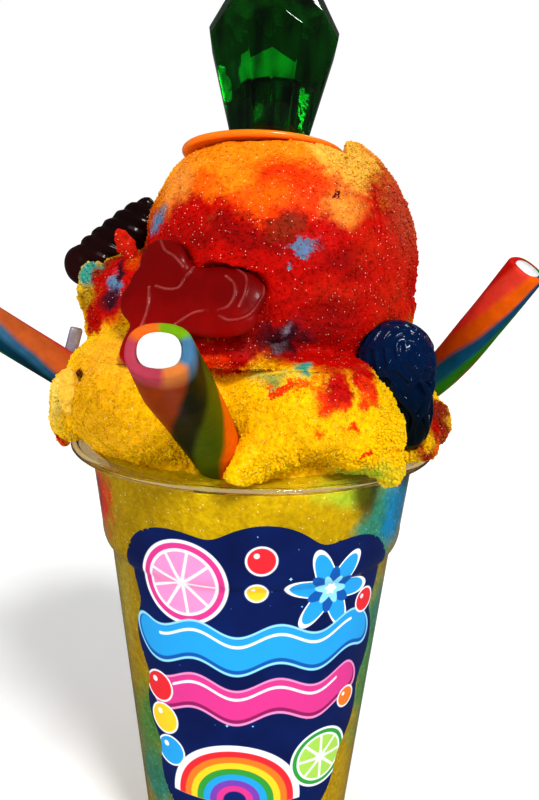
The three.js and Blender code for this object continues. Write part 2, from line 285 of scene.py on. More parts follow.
def maths(tree, operation, *values, clamp=False):
    made = node(tree, "ShaderNodeMath", dict(enumerate(values)), operation=operation)
    made.use_clamp = clamp
    return made.outputs[0]


def vectors(tree, operation, *values):
    made = node(tree, "ShaderNodeVectorMath", dict(enumerate(values)), operation=operation)
    return made.outputs["Value" if operation in ("LENGTH", "DOT_PRODUCT") else "Vector"]


def blended(tree, mask, under, over, blend="MIX"):
    """Colour that goes from one to the other as the mask goes from 0 to 1."""
    made = node(tree, "ShaderNodeMix", data_type="RGBA", blend_type=blend)
    sockets = {socket.name: socket for socket in made.inputs if socket.enabled}
    wire(tree, sockets["Factor"], mask)
    wire(tree, sockets["A"], under)
    wire(tree, sockets["B"], over)
    return next(socket for socket in made.outputs if socket.enabled)


def noise(tree, place, scale, detail=2.0, roughness=0.5, colour=False):
    inputs = {"Vector": place, "Scale": scale, "Detail": detail, "Roughness": roughness}
    made = node(tree, "ShaderNodeTexNoise", inputs)
    return made.outputs["Color" if colour else "Fac"]


def stretched(tree, value, low, high, new_low=0.0, new_high=1.0):
    """A value spread from one range to another, and held inside it."""
    inputs = {"Value": value, "From Min": low, "From Max": high, "To Min": new_low, "To Max": new_high}
    return node(tree, "ShaderNodeMapRange", inputs, clamp=True).outputs["Result"]


def new_material(name, **settings):
    """A material with its Principled shader's own sockets set."""
    material = bpy.data.materials.new(name)
    material.use_nodes = True
    tree = material.node_tree
    shader = tree.nodes["Principled BSDF"]
    for socket, value in settings.items():
        shader.inputs[socket.replace("_", " ")].default_value = value
    return material, tree, shader


def object_place(tree):
    return node(tree, "ShaderNodeTexCoord").outputs["Object"]


def scaled(tree, vector, factor):
    made = node(tree, "ShaderNodeVectorMath", {0: vector, "Scale": factor}, operation="SCALE")
    return made.outputs["Vector"]


def emboss(tree, shader, height, depth, strength):
    """Gives a shader a relief from a height, with its depth in millimetres."""
    inputs = {"Height": height, "Distance": depth * MM, "Strength": strength}
    wire(tree, shader.inputs["Normal"], node(tree, "ShaderNodeBump", inputs).outputs["Normal"])


def paint(tree, shader, colour):
    wire(tree, shader.inputs["Base Color"], colour)


def new_group(name, inputs, outputs):
    """A shader node group with named sockets. Each input is a type and a default value."""
    group = bpy.data.node_groups.new(name, "ShaderNodeTree")
    for label, (kind, value) in inputs.items():
        socket = group.interface.new_socket(label, in_out="INPUT", socket_type=f"NodeSocket{kind}")
        if value is not None:
            socket.default_value = value
    for label, kind in outputs.items():
        group.interface.new_socket(label, in_out="OUTPUT", socket_type=f"NodeSocket{kind}")
    source = group.nodes.new("NodeGroupInput").outputs
    result = group.nodes.new("NodeGroupOutput").inputs
    return group, source, result


def use_group(tree, group, inputs):
    made = node(tree, "ShaderNodeGroup", node_tree=group)
    for label, value in inputs.items():
        wire(tree, made.inputs[label], value)
    return made.outputs


def screen_colour(red, green, blue):
    """A colour given as it looks on a screen, 0 to 255, in Blender's linear light."""
    def linear(value):
        value /= 255
        return value / 12.92 if value <= 0.04045 else ((value + 0.055) / 1.055) ** 2.4
    return (linear(red), linear(green), linear(blue), 1)


# %% [markdown]
# ## The floor and the light
# A pale floor and a pale room keep the colours of the ice true. One wide soft sun high on the right
# models the scoop, weaker ones fill the left and the back, and a small lamp behind gives the wet
# surfaces their glints. The room looks white to the camera and shines less than that on the dessert.
# Both room and floor are nearly dark to its glossy surfaces: they mirror only the lamps, as in a studio
# hung with black cloth, and the deep colours of the sweets stay deep. Through the clear cup and gem the
# room and floor look dimmer and warmer, as if the ice around them showed in it.

# %% Mirrored rays
def mirrored_ray(tree):
    """1 for a ray that a glossy surface mirrors, 0 for one that a clear piece lets through."""
    rays = node(tree, "ShaderNodeLightPath").outputs
    return maths(tree, "SUBTRACT", rays["Is Glossy Ray"], rays["Is Transmission Ray"], clamp=True)


def passed_ray(tree):
    """1 for a ray that a clear piece lets through."""
    return node(tree, "ShaderNodeLightPath").outputs["Is Transmission Ray"]


# %% Floor
FLOOR_SIZE = 12.0
FLOOR_PALE, FLOOR_PALER = screen_colour(246, 246, 246), screen_colour(251, 251, 251)
FLOOR_MIRRORED = screen_colour(90, 90, 90)
FLOOR_PASSED = screen_colour(186, 164, 118)
deselect()
bpy.ops.mesh.primitive_plane_add(size=FLOOR_SIZE)
floor = bpy.context.object
floor.name = "floor"
floor_material, floor_tree, floor_shader = new_material("pale floor", Roughness=0.9)
grain = noise(floor_tree, object_place(floor_tree), 30.0, 4.0)
floor_colour = blended(floor_tree, grain, FLOOR_PALE, FLOOR_PALER)
floor_colour = blended(floor_tree, mirrored_ray(floor_tree), floor_colour, FLOOR_MIRRORED)
floor_colour = blended(floor_tree, passed_ray(floor_tree), floor_colour, FLOOR_PASSED)
paint(floor_tree, floor_shader, floor_colour)
floor.data.materials.append(floor_material)
floor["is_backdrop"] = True

# %% Room and lights
world = bpy.data.worlds.new("pale room")
bpy.context.scene.world = world
world.use_nodes = True
room_tree = world.node_tree
room = room_tree.nodes["Background"]
# How strongly the room shines to the camera, on the dessert and in its glossy surfaces.
ROOM_SEEN, ROOM_LIGHT, ROOM_MIRRORED = 1.0, 0.52, 0.1
ROOM_WHITE, ROOM_PASSED = (1, 1, 1, 1), (0.62, 0.5, 0.28, 1)
shining = stretched(room_tree, mirrored_ray(room_tree), 0.0, 1.0, ROOM_LIGHT, ROOM_MIRRORED)
straight = node(room_tree, "ShaderNodeLightPath").outputs["Is Camera Ray"]
wire(room_tree, room.inputs["Strength"], stretched(room_tree, straight, 0.0, 1.0, shining, ROOM_SEEN))
wire(room_tree, room.inputs["Color"], blended(room_tree, passed_ray(room_tree), ROOM_WHITE, ROOM_PASSED))

LIGHT_AIM = Vector((0, 0, 0.15))
PICTURE_GAMMA = 0.86


def light(name, kind, place, energy, mirrored=True, **settings):
    """A lamp at a place in metres that looks at the scoop. It shows in glossy surfaces only if mirrored."""
    bpy.ops.object.light_add(type=kind, location=place)
    made = bpy.context.object
    made.name = name
    made.data.energy = energy
    made.visible_glossy = mirrored
    for key, value in settings.items():
        setattr(made.data, key, value)
    aim = LIGHT_AIM - made.location
    made.rotation_euler = aim.to_track_quat("-Z", "Y").to_euler()


light("key_light", "SUN", (0.3, -0.6, 0.8), 2.45, angle=math.radians(14))
light("fill_light", "SUN", (-0.65, -0.5, 0.45), 1.0, mirrored=False, angle=math.radians(35))
light("glint_light", "AREA", (0.3, 0.35, 0.7), 0.5, size=0.12)
light("back_light", "SUN", (0.1, 0.7, 0.5), 0.5, mirrored=False, angle=math.radians(35))
bpy.context.scene.view_settings.view_transform = "Standard"
bpy.context.scene.view_settings.gamma = PICTURE_GAMMA

# %% [markdown]
# ## The heap of ice
# Italian ice is scraped, packed and scooped, so it is lumpy at the size of a fingertip, crumbly at the
# size of a rice grain, and grainy below that. The two ice solids of the frame give the lumps. They are
# joined into one heap, so that no seam shows where the ball sits on the mound, and remeshed to a fine
# even skin that is smoothed and then roughened at three sizes. At the end the heap is cut in two again
# at the height where the ball sits, one half for each solid of the frame.

# %% One closed heap from the two ice solids
HEAP_VOXEL = 0.5
RIM_HEIGHT = 125.0
HEAP_FLOOR = 121.5
DISH_BOTTOM = 147.0
DISH_SLOPE = 11 / 75
DISH_TOLERANCE = 0.15
DISH_OVERLAP = 1.2


def select_where(piece, test):
    """Selects the points of a piece that pass a test, and opens it for editing."""
    only(piece)
    bpy.ops.object.mode_set(mode="EDIT")
    bpy.ops.mesh.select_mode(type="VERT")
    bpy.ops.mesh.select_all(action="DESELECT")
    bpy.ops.object.mode_set(mode="OBJECT")
    for vertex in piece.data.vertices:
        vertex.select = test(vertex)
    bpy.ops.object.mode_set(mode="EDIT")


def on_dish(vertex):
    place = vertex.co / MM
    dish = DISH_BOTTOM + DISH_SLOPE * math.hypot(place.x, place.y)
    return abs(place.z - dish) < DISH_TOLERANCE


def cut_level(piece, height, keep_above):
    """Cuts a piece level at a height in millimetres, keeps one side and closes it."""
    only(piece)
    bpy.ops.object.mode_set(mode="EDIT")
    bpy.ops.mesh.select_all(action="SELECT")
    bpy.ops.mesh.bisect(
        plane_co=(0, 0, height * MM), plane_no=(0, 0, 1), use_fill=True,
        clear_inner=keep_above, clear_outer=not keep_above,
    )
    bpy.ops.object.mode_set(mode="OBJECT")


lower = copy_of("lower_ice", "lower_lumps")
cut_level(lower, HEAP_FLOOR, keep_above=True)
upper = copy_of("top_scoop", "upper_lumps")
select_where(upper, on_dish)
bpy.ops.transform.translate(value=(0, 0, -DISH_OVERLAP * MM))
bpy.ops.object.mode_set(mode="OBJECT")
heap = join("heap", [lower, upper])
add_modifier(heap, "REMESH", mode="VOXEL", voxel_size=HEAP_VOXEL * MM, use_smooth_shade=True)
add_modifier(heap, "SMOOTH", factor=0.6, iterations=26)
apply_modifiers(heap)
print("the heap has", len(heap.data.polygons), "faces")


# %% Crumbly and smooth places
# Pixels where the ice breaks into crumbs, each with how far round it that goes, in millimetres.
CRUMBLY_PLACES = [
    ((70, 440), 6), ((95, 455), 6), ((120, 462), 6), ((150, 462), 6), ((180, 458), 5), ((62, 405), 4),
    ((230, 488), 5), ((245, 492), 5), ((262, 478), 5), ((285, 466), 5), ((310, 462), 5), ((335, 464), 5),
    ((360, 470), 5), ((380, 480), 6), ((395, 462), 6), ((398, 430), 6), ((388, 402), 5), ((232, 455), 4),
    ((430, 452), 7), ((440, 430), 7), ((438, 405), 6), ((352, 150), 9), ((372, 168), 9), ((392, 196), 8),
    ((406, 228), 6), ((416, 270), 6), ((418, 305), 6), ((86, 300), 5), ((96, 270), 5), ((90, 325), 5),
]
crumbly_spots = [(nearest_seen([heap], pixel), reach * MM) for pixel, reach in CRUMBLY_PLACES]


def crumbliness(place):
    """1 where the ice breaks into crumbs, 0 where it is smooth."""
    return max(max(0.0, 1.5 - (place - spot).length / reach) for spot, reach in crumbly_spots)


SMOOTH_SHARE, BACK_SHARE = 0.08, 0.3
crumbly = heap.vertex_groups.new(name="crumbly")
for vertex in heap.data.vertices:
    behind = BACK_SHARE if vertex.co.y > 0 else 0.0
    weight = max(SMOOTH_SHARE, behind, min(1.0, crumbliness(vertex.co)))
    crumbly.add([vertex.index], weight, "REPLACE")


# %% Roughening the heap
def roughen(piece, name, kind, length, depth, mid_level=0.5, group="", **settings):
    """Pushes the surface in and out by a texture with features of one length, in millimetres."""
    texture = bpy.data.textures.new(name, type=kind)
    texture.noise_scale = length * MM
    for key, value in settings.items():
        setattr(texture, key, value)
    add_modifier(
        piece, "DISPLACE", texture=texture, texture_coords="LOCAL", strength=depth * MM, mid_level=mid_level,
        vertex_group=group,
    )


roughen(heap, "packed lumps", "CLOUDS", 6.0, 0.9, noise_depth=1)
roughen(heap, "grit", "CLOUDS", 1.3, 0.32, noise_depth=1)
roughen(heap, "crumbs", "CLOUDS", 2.0, 1.7, group="crumbly", noise_depth=2)
roughen(heap, "coarse grains", "VORONOI", 1.3, -0.7, mid_level=0.3, group="crumbly")
apply_modifiers(heap)
print("the heap is", round(heap.dimensions.x / MM), "mm wide")

# %% [markdown]
# ## Room for the sweets
# The disc under the gem lies on the ball, and its edge shows all along the front, so no crumb may stand
# above it there. The points over its seat are pressed down below it, and past its edge the pressed ice
# slopes away. Beside the left rope the ice has a small dark hole, which is pressed in too.

# %% The frame of the gem
DISC_PLACE = Vector((1.2, 0, 198.2)) * MM
DISC_RADIUS, DISC_THICKNESS = 20.8, 1.7
TILT_BACK, LEAN_RIGHT = math.radians(12.5), math.radians(1.6)
crown_turn = Matrix.Rotation(-TILT_BACK, 4, "X") @ Matrix.Rotation(LEAN_RIGHT, 4, "Y")
crown_frame = Matrix.Translation(DISC_PLACE) @ crown_turn

# %% Pressing in the disc and the hole
SEAT_GAP = 0.15
# The disc's edge is laid bare at the front up to this far to the right, and all round this far past it.
CLEAR_TO, CLEAR_PAST = 19.8 * MM, 0.5 * MM
FALL_AWAY = 0.5
HOLE_PIXEL = (80, 377)
HOLE_REACH, HOLE_DEPTH = 1.9 * MM, 3.5 * MM
seat = -(DISC_THICKNESS / 2 + SEAT_GAP) * MM
to_crown = crown_frame.inverted()
hole = seen_on([heap], HOLE_PIXEL)
pressed = 0
for vertex in heap.data.vertices:
    local = to_crown @ vertex.co
    in_front = local.y < 0 and local.x < CLEAR_TO
    beyond = max(0.0, local.xy.length - DISC_RADIUS * MM)
    level_here = seat - FALL_AWAY * beyond
    if local.z > level_here and (in_front or beyond < CLEAR_PAST):
        vertex.co = crown_frame @ Vector((local.x, local.y, level_here))
        pressed += 1
    near_hole = (vertex.co - hole).length / HOLE_REACH
    if near_hole < 1.0:
        vertex.co += sight_line(HOLE_PIXEL) * HOLE_DEPTH * (1 - near_hole ** 2)
print(pressed, "points are pressed under the disc")

# %% [markdown]
# ## Where the crust is bare
# Loose grains lie only where the ice is in the open, so each point of the heap is marked with how bare
# it is. Points next to a sweet or inside the cup's rim are not.

# %% Marking the bare crust
CANDY_NODES = [name for name in NODES if "gummy" in name or "rope" in name or "gem" in name]
candy_trees = []
for name in CANDY_NODES:
    mesh = NODES[name].data
    points = [vertex.co for vertex in mesh.vertices]
    candy_trees.append(BVHTree.FromPolygons(points, [polygon.vertices for polygon in mesh.polygons]))

NEAR_CANDY = 1.0 * MM
RIM_ROOM = 50.2 * MM
RIM_CLEAR = (RIM_HEIGHT + 1.2) * MM
bare, breaking = [], []
for vertex in heap.data.vertices:
    in_rim = vertex.co.z < RIM_CLEAR and vertex.co.xy.length < RIM_ROOM
    near = any(tree.find_nearest(vertex.co, NEAR_CANDY)[0] is not None for tree in candy_trees)
    bare.append(0.0 if in_rim or near else 1.0)
    breaking.append(bare[-1] if crumbliness(vertex.co) > 0.5 else 0.0)
for name, values in (("grain crust", bare), ("crumb crust", breaking)):
    heap.data.attributes.new(name, "FLOAT", "POINT").data.foreach_set("value", values)
    print(name, "covers", round(sum(values) / len(values), 2), "of the heap's points")

# %% Cutting the heap in two
SCOOP_SEAT = 150.0
MOUND_FOOT = 122.6
scoop = bpy.data.objects.new("scoop", heap.data.copy())
bpy.context.scene.collection.objects.link(scoop)
mound = heap
mound.name = "mound"
cut_level(scoop, SCOOP_SEAT, keep_above=True)
cut_level(mound, SCOOP_SEAT, keep_above=False)
cut_level(mound, MOUND_FOOT, keep_above=True)
HEAP = [mound, scoop]

# %% [markdown]
# ## The ice in the cup
# Inside the cup the ice is pressed flat against the plastic, so it is a plain turned body. It reaches a
# third of a millimetre into the wall: that closes the film of air that would otherwise show between
# wall and ice, and the colour of the ice lies right behind the plastic, as on the real cup.

# %% Outline of the cup
CUP_WALL = 0.8
CUP_FLOOR = 1.2
CUP_BASE = 27.5
FOOT_ROUND = 1.2
WALL_LOW = 2.0
STEP_RADIUS, STEP_HEIGHT = 38.6, 96.5
COLLAR_RADIUS, COLLAR_HEIGHT = 40.97, 102.3
NECK_RADIUS, NECK_HEIGHT = 43.3, 121.0
BEAD = 0.9
RIM_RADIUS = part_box("cup")[1].x / MM
CUP_SIDES = 128


def foot_radius(height):
    """The radius of the lower wall, which tapers evenly from the step to the base."""
    return CUP_BASE + (STEP_RADIUS - CUP_BASE) * height / STEP_HEIGHT


def wall_outline(inset, low, arc_steps=8):
    """The wall from a low height up to the neck, moved inwards by the inset."""
    rise, reach = COLLAR_HEIGHT - STEP_HEIGHT, COLLAR_RADIUS - STEP_RADIUS
    heights = (low, 30, 60, 90, STEP_HEIGHT - 0.6)
    points = [(foot_radius(height) - inset, height) for height in heights]
    points.append((STEP_RADIUS - inset + 0.1, STEP_HEIGHT - 0.1))
    for i in range(arc_steps + 1):
        t = math.radians(90) * (1 - i / arc_steps)
        radius = COLLAR_RADIUS - inset - reach * (1 - math.cos(t))
        points.append((radius, COLLAR_HEIGHT - rise * math.sin(t)))
    points.append((NECK_RADIUS - inset, NECK_HEIGHT))
    return points


print("the rim is", round(2 * RIM_RADIUS, 1), "mm across")

# %% Ice fill
INTO_WALL = 0.35
fill_inset = CUP_WALL - INTO_WALL
fill_neck = NECK_RADIUS - fill_inset
fill_foot = (CUP_BASE - FOOT_ROUND - fill_inset - 0.5, CUP_FLOOR - INTO_WALL)
# The top is a low crown: each step inwards from the neck, and its height.
FILL_CROWN = ((0.2, 122.6), (1.4, 123.6), (4, 125), (9, 126.5))
fill_outline = [fill_foot, *wall_outline(fill_inset, WALL_LOW)]
fill_outline += [(fill_neck - inwards, height) for inwards, height in FILL_CROWN]
fill = turned("ice_fill", fill_outline + [(2, 128)], CUP_SIDES)
only(fill)
bpy.ops.object.shade_smooth_by_angle(angle=math.radians(40))

# %% [markdown]
# ## Flavours of ice
# The syrups run into each other, so one ice material is shared by the ball, the mound and the loose
# grains, and it paints its flavours by place. Every patch of syrup is an ellipsoid with a frayed edge,
# set on the ice where it belongs. Three node groups do the work: one frays the place, one stains the
# colour under it with a flavour, and one makes the fine grain, with painted shade in its hollows,
# painted light on its tops and white points of painted glint.

# %% Frayed place
frayed, source, result = new_group("Frayed place", {"Place": ("Vector", None)}, {"Place": "Vector"})
wide_drift = noise(frayed, source["Place"], 130.0, 2.0, colour=True)
fine_drift = noise(frayed, source["Place"], 900.0, 2.0, 0.7, colour=True)
moved = source["Place"]
for drift, reach in ((wide_drift, 11 * MM), (fine_drift, 3.6 * MM)):
    centred = vectors(frayed, "SUBTRACT", drift, (0.5, 0.5, 0.5))
    moved = vectors(frayed, "ADD", moved, scaled(frayed, centred, reach))
wire(frayed, result["Place"], moved)

# %% Syrup stain
stain_inputs = {
    "Under": ("Color", (1, 1, 1, 1)),
    "Flavour": ("Color", (1, 0, 0, 1)),
    "Place": ("Vector", None),
    "Centre": ("Vector", None),
    "Reach": ("Vector", None),
    "Soft": ("Float", 0.3),
}
stain, source, result = new_group("Syrup stain", stain_inputs, {"Colour": "Color"})
offset = vectors(stain, "SUBTRACT", source["Place"], source["Centre"])
distance = vectors(stain, "LENGTH", vectors(stain, "DIVIDE", offset, source["Reach"]))
inner = maths(stain, "SUBTRACT", 1.0, source["Soft"])
outer = maths(stain, "ADD", 1.0, source["Soft"])
cover = node(
    stain, "ShaderNodeMapRange",
    {"Value": distance, "From Min": inner, "From Max": outer, "To Min": 1.0, "To Max": 0.0},
    interpolation_type="SMOOTHSTEP",
).outputs["Result"]
wire(stain, result["Colour"], blended(stain, cover, source["Under"], source["Flavour"]))

# %% Fine grain, painted shade and painted glints
grain_inputs = {"Place": ("Vector", None), "Grains": ("Float", 1500.0)}
grain_group, source, result = new_group(
    "Ice grain", grain_inputs, {"Height": "Float", "Glint dots": "Float", "Tone and shade": "Float"}
)
cells = node(grain_group, "ShaderNodeTexVoronoi", {"Vector": source["Place"], "Scale": source["Grains"]})
wave_scale = maths(grain_group, "MULTIPLY", source["Grains"], 0.6)
wavy = noise(grain_group, source["Place"], wave_scale, 3.0, 0.6)
hollows = maths(grain_group, "MULTIPLY", cells.outputs["Distance"], 0.7)
height = maths(grain_group, "SUBTRACT", wavy, hollows)
wire(grain_group, result["Height"], height)
# Glint dots: sparse white points that are painted glints.
sparse = maths(grain_group, "MULTIPLY", source["Grains"], 1.3)
points = node(grain_group, "ShaderNodeTexVoronoi", {"Vector": source["Place"], "Scale": sparse})
chance = node(grain_group, "ShaderNodeSeparateColor", {"Color": points.outputs["Color"]}).outputs["Red"]
chosen = maths(grain_group, "GREATER_THAN", chance, 0.9)
near = maths(grain_group, "LESS_THAN", points.outputs["Distance"], 0.25)
wire(grain_group, result["Glint dots"], maths(grain_group, "MULTIPLY", chosen, near))
# Tone and shade: a random tone plus the grain's height, so the grain's hollows carry painted shade.
tone_scale = maths(grain_group, "MULTIPLY", source["Grains"], 0.3)
tone = noise(grain_group, source["Place"], tone_scale, 4.0, 0.7)
wire(grain_group, result["Tone and shade"], maths(grain_group, "MULTIPLY_ADD", height, 0.35, tone))

# %% Palette
CHERRY = screen_colour(190, 10, 2)
DEEP_CHERRY = screen_colour(152, 8, 6)
EMBER = screen_colour(196, 34, 8)
BLOOD = screen_colour(100, 6, 8)
TANGERINE = screen_colour(238, 66, 4)
ORANGE = screen_colour(248, 104, 6)
MANGO = screen_colour(244, 142, 20)
APRICOT = screen_colour(238, 146, 56)
PEACH = screen_colour(246, 182, 74)
SALMON = screen_colour(192, 66, 42)
LEMON = screen_colour(254, 198, 2)
PALE_LEMON = screen_colour(244, 210, 104)
CREAM_LEMON = screen_colour(226, 184, 70)
SHADED_LEMON = screen_colour(218, 162, 4)
LIME = screen_colour(176, 196, 60)
MIST = screen_colour(176, 178, 96)
SKY = screen_colour(100, 134, 176)
BLUE = screen_colour(12, 150, 214)
TEAL = screen_colour(70, 160, 150)
GREEN = screen_colour(104, 168, 96)
PLUM = screen_colour(66, 20, 40)
SMOKE = screen_colour(132, 118, 140)
AMBER = screen_colour(246, 176, 40)
OCHRE = screen_colour(196, 150, 20)
STRAW = screen_colour(200, 172, 4)
MOSS = screen_colour(204, 188, 68)
RUST = screen_colour(150, 44, 18)
# The white of the painted glints on the ice.
GLINT_WHITE = screen_colour(255, 244, 226)

# %% Patches of syrup on the heap
# Each row: the flavour, the pixel of its middle, half its width and height in pixels, its softness.
# Two rows paint shade in place of a flavour, as marked.
HEAP_PATCHES = [
    (CHERRY, (108, 285), (34, 44), 0.25),
    (CHERRY, (96, 322), (22, 18), 0.3),
    (CHERRY, (200, 352), (60, 22), 0.2),
    (CHERRY, (330, 352), (60, 20), 0.25),
    (MANGO, (250, 146), (112, 44), 0.3),
    (PEACH, (344, 158), (36, 34), 0.3),
    (APRICOT, (176, 184), (18, 28), 0.6),
    (TANGERINE, (287, 186), (52, 32), 0.3),
    (ORANGE, (262, 198), (34, 16), 0.6),
    (MANGO, (222, 176), (30, 14), 0.6),
    (ORANGE, (205, 186), (20, 10), 0.7),
    (APRICOT, (346, 204), (24, 20), 0.6),
    (APRICOT, (368, 152), (16, 14), 0.6),
    (SALMON, (402, 200), (28, 56), 0.6),
    (BLOOD, (337, 190), (2.6, 5), 0.4),
    (CHERRY, (198, 210), (24, 18), 0.4),
    (RUST, (214, 214), (7, 6), 0.6),
    (DEEP_CHERRY, (225, 232), (44, 13), 0.7),
    (DEEP_CHERRY, (268, 238), (26, 16), 0.7),
    (RUST, (288, 230), (18, 10), 0.6),
    (SKY, (302, 247), (15, 3.5), 0.5),
    (SKY, (292, 265), (4, 4), 0.5),
    (DEEP_CHERRY, (350, 262), (34, 14), 0.8),
    (EMBER, (340, 296), (30, 12), 0.95),
    (EMBER, (396, 300), (22, 44), 0.9),
    (EMBER, (372, 246), (22, 16), 0.95),
    (DEEP_CHERRY, (330, 322), (26, 20), 0.8),
    (DEEP_CHERRY, (262, 340), (30, 16), 0.6),
    (PLUM, (284, 336), (27, 15), 0.5),
    (SMOKE, (286, 328), (7, 5), 0.7),
    (SMOKE, (276, 344), (9, 5), 0.7),
    (MIST, (270, 378), (22, 9), 0.6),
    (TEAL, (305, 371), (8, 11), 0.45),
    (SKY, (159, 216), (8, 13), 0.5),
    (SMOKE, (163, 208), (6, 8), 0.6),
    (TANGERINE, (330, 398), (20, 13), 0.45),
    (CHERRY, (334, 384), (17, 17), 0.45),
    (CHERRY, (362, 378), (14, 14), 0.4),
    (TANGERINE, (368, 396), (10, 16), 0.45),
    (TANGERINE, (285, 388), (26, 3), 0.5),
    (TANGERINE, (211, 362), (13, 7), 0.6),
    (TANGERINE, (352, 431), (9, 4), 0.5),
    (TANGERINE, (360, 455), (3, 4), 0.5),
    (ORANGE, (320, 430), (6, 3), 0.8),
    # Painted shade: a darker lemon on the left mass, whose side is in shade.
    (SHADED_LEMON, (92, 408), (60, 54), 0.7),
    (AMBER, (108, 356), (44, 26), 0.7),
    (CHERRY, (98, 324), (24, 14), 0.5),
    (PALE_LEMON, (57, 396), (12, 30), 0.5),
    (CHERRY, (62, 440), (10, 13), 0.4),
    (TEAL, (92, 272), (13, 18), 0.5),
    (OCHRE, (88, 295), (12, 14), 0.5),
    (SKY, (114, 284), (9, 16), 0.4),
    (PLUM, (121, 270), (4, 12), 0.5),
    (RUST, (106, 268), (5, 14), 0.5),
    (PLUM, (108, 300), (12, 12), 0.7),
    # Painted shade: a dark mark inside the small hole beside the left rope.
    (BLOOD, (80, 376), (3, 5), 0.4),
    (RUST, (440, 424), (16, 40), 0.5),
    (CHERRY, (436, 430), (12, 14), 0.6),
    (RUST, (428, 452), (20, 12), 0.6),
    (ORANGE, (442, 446), (7, 6), 0.8),
    (LEMON, (442, 396), (9, 12), 0.4),
    (RUST, (84, 458), (24, 12), 0.5),
    (LIME, (366, 474), (34, 8), 0.6),
]
CHERRY_ZONE = (Vector((8, 0, 173)) * MM, Vector((41, 50, 28)) * MM)


def patch_on(pieces, pixel, half_size):
    """Where the camera sees a patch, and how far it reaches sideways, in depth and up."""
    place = nearest_seen(pieces, pixel)
    across = pixels_to_metres(half_size[0], place)
    high = pixels_to_metres(half_size[1], place)
    return place, Vector((across, max(across, high, 4 * MM), high))


def patches_at(pieces, rows):
    """Every row of a list of patches, found on the pieces."""
    return [(row[0], *patch_on(pieces, row[1], row[2]), row[3]) for row in rows]


def patches_round(pieces, flavours, heights, count, seed):
    """Patches on the sides and the back, where the camera does not look, cast in towards the axis."""
    dice = random.Random(seed)
    found = []
    for i in range(count):
        angle = math.radians(15 + 150 * (i + dice.uniform(0.2, 0.8)) / count)
        outwards = Vector((math.cos(angle), math.sin(angle), 0))
        start = outwards * 0.2 + Vector((0, 0, dice.uniform(*heights) * MM))
        size = dice.uniform(4, 12) * MM
        for piece in pieces:
            hit, place = piece.ray_cast(start, -outwards)[:2]
            if hit:
                found.append((dice.choice(flavours), place.copy(), Vector((size, size, size * 0.8)), 0.5))
                break
    return found


# %% The ice material
def ice_material(name, base, patches, grains, glint_share, hollow_shade_depth=0.2):
    """Ice in one base flavour, stained patch by patch, then grained with painted shade and painted glints."""
    material, tree, shader = new_material(
        name, Roughness=0.45, Subsurface_Weight=0.3, Subsurface_Scale=0.003, Specular_IOR_Level=0.06,
    )
    shader.inputs["Subsurface Radius"].default_value = (1.0, 0.4, 0.12)
    place = object_place(tree)
    loose = use_group(tree, frayed, {"Place": place})["Place"]
    colour = base
    for flavour, centre, reach, soft in patches:
        values = {"Under": colour, "Flavour": flavour, "Place": loose}
        values |= {"Centre": centre, "Reach": reach, "Soft": soft}
        colour = use_group(tree, stain, values)["Colour"]
    fine = use_group(tree, grain_group, {"Place": place, "Grains": grains})
    # Painted shade and light: the grain's hollows are painted darker and warmer, its tops a little lighter.
    peaks = stretched(tree, fine["Tone and shade"], 0.35, 0.75)
    hollow_shade = (1 - hollow_shade_depth, 1 - 1.2 * hollow_shade_depth, 1 - 2.4 * hollow_shade_depth, 1)
    toned_and_shaded = blended(tree, 1.0, colour, blended(tree, peaks, hollow_shade, (1.1, 1.1, 1.1, 1)), "MULTIPLY")
    # Painted glints: white points laid over the colour.
    paint(tree, shader, blended(tree, maths(tree, "MULTIPLY", fine["Glint dots"], glint_share), toned_and_shaded, GLINT_WHITE))
    emboss(tree, shader, fine["Height"], 0.35, 0.5)
    return material


ICE_GRAINS = 1500.0
heap_patches = [(CHERRY, *CHERRY_ZONE, 0.12), *patches_at(HEAP, HEAP_PATCHES)]
heap_patches += patches_round([scoop], [TANGERINE, MANGO, DEEP_CHERRY, ORANGE, SKY], (156, 194), 16, 3)
heap_patches += patches_round([mound], [ORANGE, CHERRY, LIME, TEAL, PALE_LEMON], (128, 146), 12, 5)
water_ice = ice_material("water ice", LEMON, heap_patches, ICE_GRAINS, 0.6, hollow_shade_depth=0.17)
print(len(heap_patches), "patches of syrup")

# %% Finishing the heap
finish_piece(mound, water_ice, "lower_ice", "lower_ice")
finish_piece(scoop, water_ice, "top_scoop", "top_scoop")

# %% Patches of syrup in the cup
FILL_PATCHES = [
    (TANGERINE, (104, 500), (16, 34), 0.5),
    (EMBER, (98, 486), (9, 20), 0.6),
    (MOSS, (118, 590), (18, 70), 0.6),
    (LIME, (352, 492), (36, 16), 0.7),
    (TEAL, (378, 530), (24, 62), 0.5),
    (BLUE, (396, 508), (22, 42), 0.4),
    (TEAL, (376, 640), (20, 70), 0.5),
    (GREEN, (366, 680), (14, 60), 0.7),
    (TEAL, (158, 775), (26, 42), 0.6),
    (GREEN, (150, 720), (18, 40), 0.8),
]
PACKED_GRAINS = 1100.0
fill_patches = patches_at([fill], FILL_PATCHES)
fill_patches += patches_round([fill], [ORANGE, TEAL, LIME, CHERRY, BLUE], (10, 118), 16, 11)
packed_ice = ice_material("packed ice", STRAW, fill_patches, PACKED_GRAINS, 0.6)
finish_piece(fill, packed_ice, "lower_ice", "lower_ice")

# %% [markdown]
# ## Loose grains and crumbs
# The crust sheds single grains of ice, blocky and under half a millimetre across, and where it breaks
# it leaves round crumbs of about a millimetre. Both are scattered with Geometry Nodes: points are
# strewn over the marked crust, a small shape is set on each with its own turn and proportions, and the
# copies are made real so that they are plain mesh.

# %% A tree that scatters
GRAINS_PER_PIECE, GRAIN_SIZES = 16000, (0.2, 0.55)
CRUMBS_PER_PIECE, CRUMB_SIZES = 3500, (0.6, 1.5)


